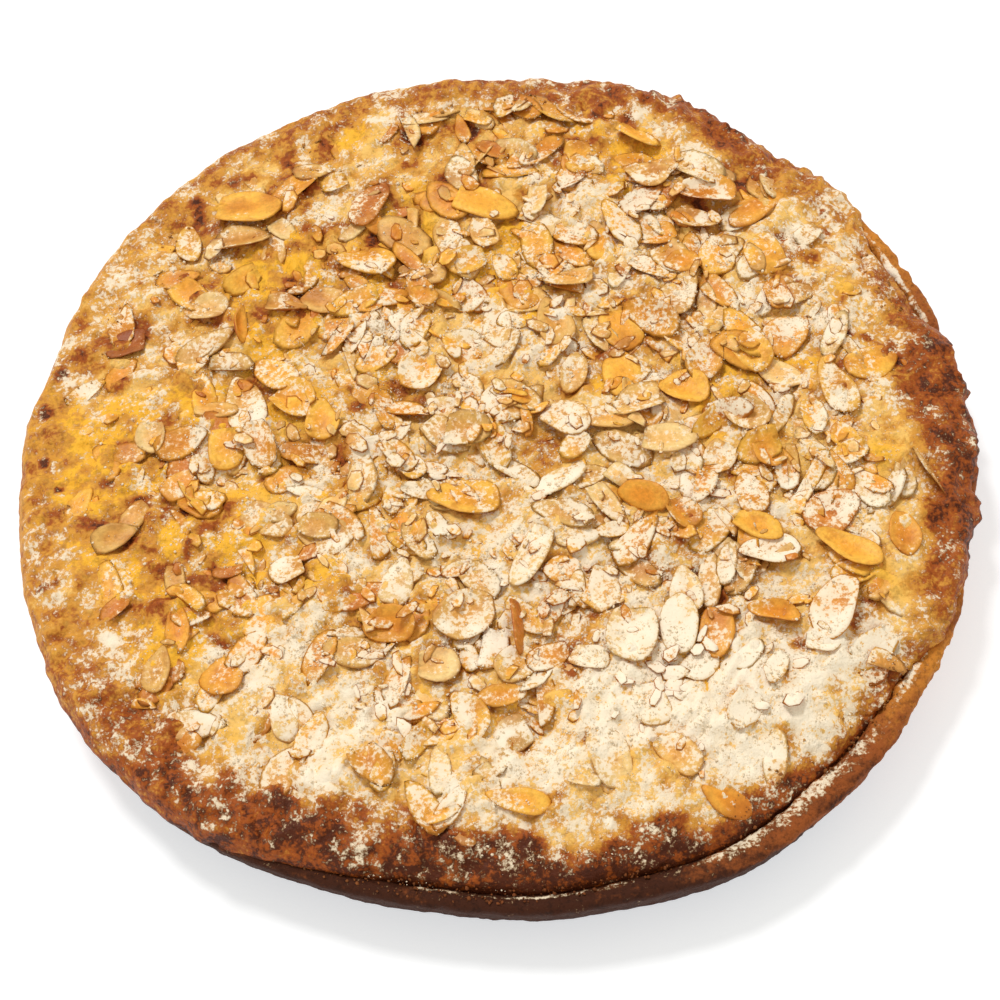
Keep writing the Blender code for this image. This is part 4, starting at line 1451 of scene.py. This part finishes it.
class TART_OT_filling(bpy.types.Operator):
    """Make the fine surface of the baked filling"""

    bl_idname = "tart.filling"
    bl_label = "Almond filling"

    def execute(self, context):
        points, corners, uv = filling_surface()
        x, y = points[:, 0], points[:, 1]
        # In hollows: less sugar, which falls on the tops, and painted shade as browner dough
        hollow_shade = hollow_shade_amount(points)
        # Darker in the small holes
        browner_in_holes = 0.9 * smooth_step(hole_depth(x, y) / (0.8 * MM))
        toast = np.clip(border_toast_and_shade(x, y) + browner_in_holes + 0.1 * hollow_shade, 0.0, 1.0)
        sugar = sugar_amount(x, y) * (1.0 - 0.42 * hollow_shade)
        values = (("toast", toast), ("sugar", sugar), ("golden", golden_amount(x, y)))
        material = filling_material(context.scene.tart.filling)
        piece = mesh_piece("baked_filling", points, corners, uv, material, values)
        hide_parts("almond_filling")
        return {"FINISHED"}


class TART_OT_flakes(bpy.types.Operator):
    """Make the large and the small flaked almonds"""

    bl_idname = "tart.flakes"
    bl_label = "Flaked almonds"

    def execute(self, context):
        material = almond_material("Baked flaked almond")
        for number, (name, thickness, points, stations, split) in enumerate(SLICE_KINDS):
            poses, sizes, bends, tones, dust = flake_layout()[number]
            rng = np.random.default_rng(CUT_EDGE_SEED + number)
            spots, share, under = sheets(
                poses, sizes, bends, thickness, points, stations, rng, split_share=split
            )
            corners, uv = repeated_stacks(len(poses), len(stations), points)
            each = 2 + len(stations) * points
            values = almond_values(spots, share, under, np.repeat(dust, each))
            tones = np.repeat(tones, each, axis=0)
            piece = mesh_piece(name, spots, corners, uv, material, values, tones)
        return {"FINISHED"}


class TART_OT_bits(bpy.types.Operator):
    """Make the broken bits of almond and the baked crumbs"""

    bl_idname = "tart.bits"
    bl_label = "Almond bits and crumbs"

    def execute(self, context):
        settings = context.scene.tart.topping
        rng = np.random.default_rng(BIT_SEED)
        self.add_bits(settings.almond_bits, rng)
        self.add_crumbs(settings.crumbs, rng)
        return {"FINISHED"}

    def add_bits(self, count, rng):
        """Small pieces of slices that lie nearly level, where slices lie."""
        x, y = spread(count, BIT_REACH, flake_share, rng)
        heading = rng.uniform(0.0, 2.0 * np.pi, count)
        upright = [0.0, 0.0, 1.0] + BIT_TILT * turned(count, rng)[:, 0]
        normal = upright / np.linalg.norm(upright, axis=1)[:, None]
        poses = np.stack([lie_on_top(x, y, 0.15 * MM), *lying_axes(normal, heading), normal], axis=1)
        length = rng.uniform(2.5, 8.0, count) * MM
        sizes = np.column_stack([length, length * rng.uniform(0.35, 0.7, count)])
        flat = np.zeros(count)
        spots, share, under = sheets(
            poses, sizes, flat, BIT_THICKNESS, BIT_POINTS, BIT_STATIONS, rng, 0.5, 0.5
        )
        corners, uv = repeated_stacks(count, len(BIT_STATIONS), BIT_POINTS)
        material = almond_material("Baked almond bit")
        values = almond_values(spots, share, under, 0.0)
        each = 2 + len(BIT_STATIONS) * BIT_POINTS
        tones = np.repeat(drawn_tones(x, y, rng), each, axis=0)
        piece = mesh_piece("almond_bits", spots, corners, uv, material, values, tones)

    def add_crumbs(self, count, rng):
        """Crumbs near the border, from pale to brown like the place where they lie, painted shade
        included.
        """
        x, y = spread(count, CRUMB_REACH, crumb_share, rng)
        radii = (0.14 + 0.3 * rng.random(count) ** 2) * MM
        spots = lumps(lie_on_top(x, y, 0.3 * radii), radii, *LUMP_SHAPE, rng, 0.4)
        corners, uv = repeated_stacks(count, *LUMP_SHAPE)
        brown = border_toast_and_shade(x, y)[:, None]
        tones = linear(PALE_CRUMB) * (1.0 - brown) + linear(BROWN_CRUMB) * brown
        tones = tones * rng.uniform(0.7, 1.3, (count, 1))
        tones = np.repeat(tones, 2 + math.prod(LUMP_SHAPE), axis=0)
        material = grain_material("Baked crumb", None, 0.75)
        piece = mesh_piece("baked_crumbs", spots, corners, uv, material, tones=tones)


class TART_OT_sugar(bpy.types.Operator):
    """Make the lumps and grains of dusted sugar"""

    bl_idname = "tart.sugar"
    bl_label = "Dusted sugar"

    def execute(self, context):
        settings = context.scene.tart.topping
        rng = np.random.default_rng(SUGAR_SEED)
        for name, least, most, shape, power in SUGAR_KINDS:
            count = getattr(settings, name)
            x, y = spread(count, SUGAR_REACH, lambda x, y: sugar_clusters(x, y) ** power, rng)
            radii = rng.uniform(least, most, count) * MM
            spots = lumps(lie_on_top(x, y, 0.35 * radii), radii, *shape, rng)
            corners, uv = repeated_stacks(count, *shape)
            material = grain_material(name, SUGAR_COLOUR, 0.85)
            piece = mesh_piece(name, spots, corners, uv, material, flat=shape[0] == 1)
        return {"FINISHED"}


# The photograph's view: the middle of the tart in the picture, its scale and its turn
PICTURE_SIZE = 1000
CENTRE_X_PX = 497.2
CENTRE_Y_PX = 481.6
PX_PER_METRE = 3972.0
CAMERA_ELEVATION = math.radians(60.5)
PICTURE_TURN = math.radians(4.9)
AIM_HEIGHT = 15.0 * MM
SENSOR_WIDTH = 36.0
FLOOR_SIZE = 6.0
FLOOR_GAP = 0.05 * MM
FLOOR_GLOW_COLOUR = (0.93, 0.97, 1.03, 1.0)
TOWARDS_KEY = (-0.28, 0.44, 1.0)
KEY_SPREAD = math.radians(12.0)
ROOM_COLOUR = (0.97, 0.915, 0.79, 1.0)


class TART_OT_stage(bpy.types.Operator):
    """Make the floor, the light and the camera"""

    bl_idname = "tart.stage"
    bl_label = "Floor, light and camera"

    def execute(self, context):
        settings = context.scene.tart.stage
        self.add_floor(context, settings)
        self.add_light(context, settings)
        self.add_camera(context, settings)
        context.scene.view_settings.view_transform = "Standard"
        return {"FINISHED"}

    def add_floor(self, context, settings):
        """A plain pale floor, just under the tart."""
        bpy.ops.mesh.primitive_plane_add(size=FLOOR_SIZE, location=(0.0, 0.0, -FLOOR_GAP))
        floor = context.object
        floor.name = "floor"
        material, _, shader = material_shell("Pale floor", 0.9)
        shader.inputs["Base Color"].default_value = (*settings.floor, 1.0)
        shader.inputs["Emission Color"].default_value = FLOOR_GLOW_COLOUR
        shader.inputs["Emission Strength"].default_value = settings.floor_glow
        floor.data.materials.append(material)

    def add_light(self, context, settings):
        """A key light from the far left and a soft light from all round."""
        key = bpy.data.lights.new("Key", "SUN")
        key.energy = settings.key_strength
        key.angle = KEY_SPREAD
        key_object = bpy.data.objects.new("Key", key)
        key_object.rotation_euler = Vector(TOWARDS_KEY).to_track_quat("Z", "Y").to_euler()
        context.scene.collection.objects.link(key_object)
        world = bpy.data.worlds.new("Soft room")
        world.use_nodes = True
        background = world.node_tree.nodes["Background"]
        background.inputs["Color"].default_value = ROOM_COLOUR
        background.inputs["Strength"].default_value = settings.fill_strength
        context.scene.world = world

    def add_camera(self, context, settings):
        """A camera that sees the tart as in the picture: raised, and turned about its own axis."""
        back = Vector((0.0, -math.cos(CAMERA_ELEVATION), math.sin(CAMERA_ELEVATION)))
        level = Vector((1.0, 0.0, 0.0))
        upright = back.cross(level)
        right = level * math.cos(PICTURE_TURN) - upright * math.sin(PICTURE_TURN)
        up = upright * math.cos(PICTURE_TURN) + level * math.sin(PICTURE_TURN)
        half = 0.5 * PICTURE_SIZE
        aim = Vector((0.0, 0.0, AIM_HEIGHT))
        aim += right * ((half - CENTRE_X_PX) / PX_PER_METRE) - up * ((half - CENTRE_Y_PX) / PX_PER_METRE)
        camera = bpy.data.cameras.new("Camera")
        camera.sensor_width = SENSOR_WIDTH
        camera.lens = PX_PER_METRE * settings.distance / PICTURE_SIZE * SENSOR_WIDTH
        camera.clip_start = 0.05
        placed = Matrix((right, up, back)).transposed().to_4x4()
        placed.translation = aim + back * settings.distance
        camera_object = bpy.data.objects.new("Camera", camera)
        camera_object.matrix_world = placed
        context.scene.collection.objects.link(camera_object)
        context.scene.camera = camera_object


class TART_PT_panel(bpy.types.Panel):
    """Sidebar panel with the tart's operators and settings"""

    bl_idname = "TART_PT_panel"
    bl_label = "Almond Tart"
    bl_space_type = "VIEW_3D"
    bl_region_type = "UI"
    bl_category = "Almond Tart"

    def draw(self, context):
        layout = self.layout
        for operator in OPERATORS:
            layout.operator(operator.bl_idname)
        for group in ("crust", "filling", "topping", "stage"):
            settings = getattr(context.scene.tart, group)
            box = layout.box()
            for name in settings.bl_rna.properties.keys():
                if name not in {"rna_type", "name"}:
                    box.prop(settings, name)


OPERATORS = (TART_OT_crust, TART_OT_filling, TART_OT_flakes, TART_OT_bits, TART_OT_sugar, TART_OT_stage)
CLASSES = (
    TartCrustSettings,
    TartFillingSettings,
    TartToppingSettings,
    TartStageSettings,
    TartSettings,
    *OPERATORS,
    TART_PT_panel,
)


def register():
    """Register the classes and put the settings on the scene."""
    for cls in CLASSES:
        bpy.utils.register_class(cls)
    bpy.types.Scene.tart = PointerProperty(type=TartSettings)


def unregister():
    """Undo register."""
    del bpy.types.Scene.tart
    for cls in reversed(CLASSES):
        bpy.utils.unregister_class(cls)


def main():
    register()
    bpy.ops.tart.crust()
    bpy.ops.tart.filling()
    bpy.ops.tart.flakes()
    bpy.ops.tart.bits()
    bpy.ops.tart.sugar()
    bpy.ops.tart.stage()
    bpy.context.view_layer.update()


if __name__ == "__main__":
    main()
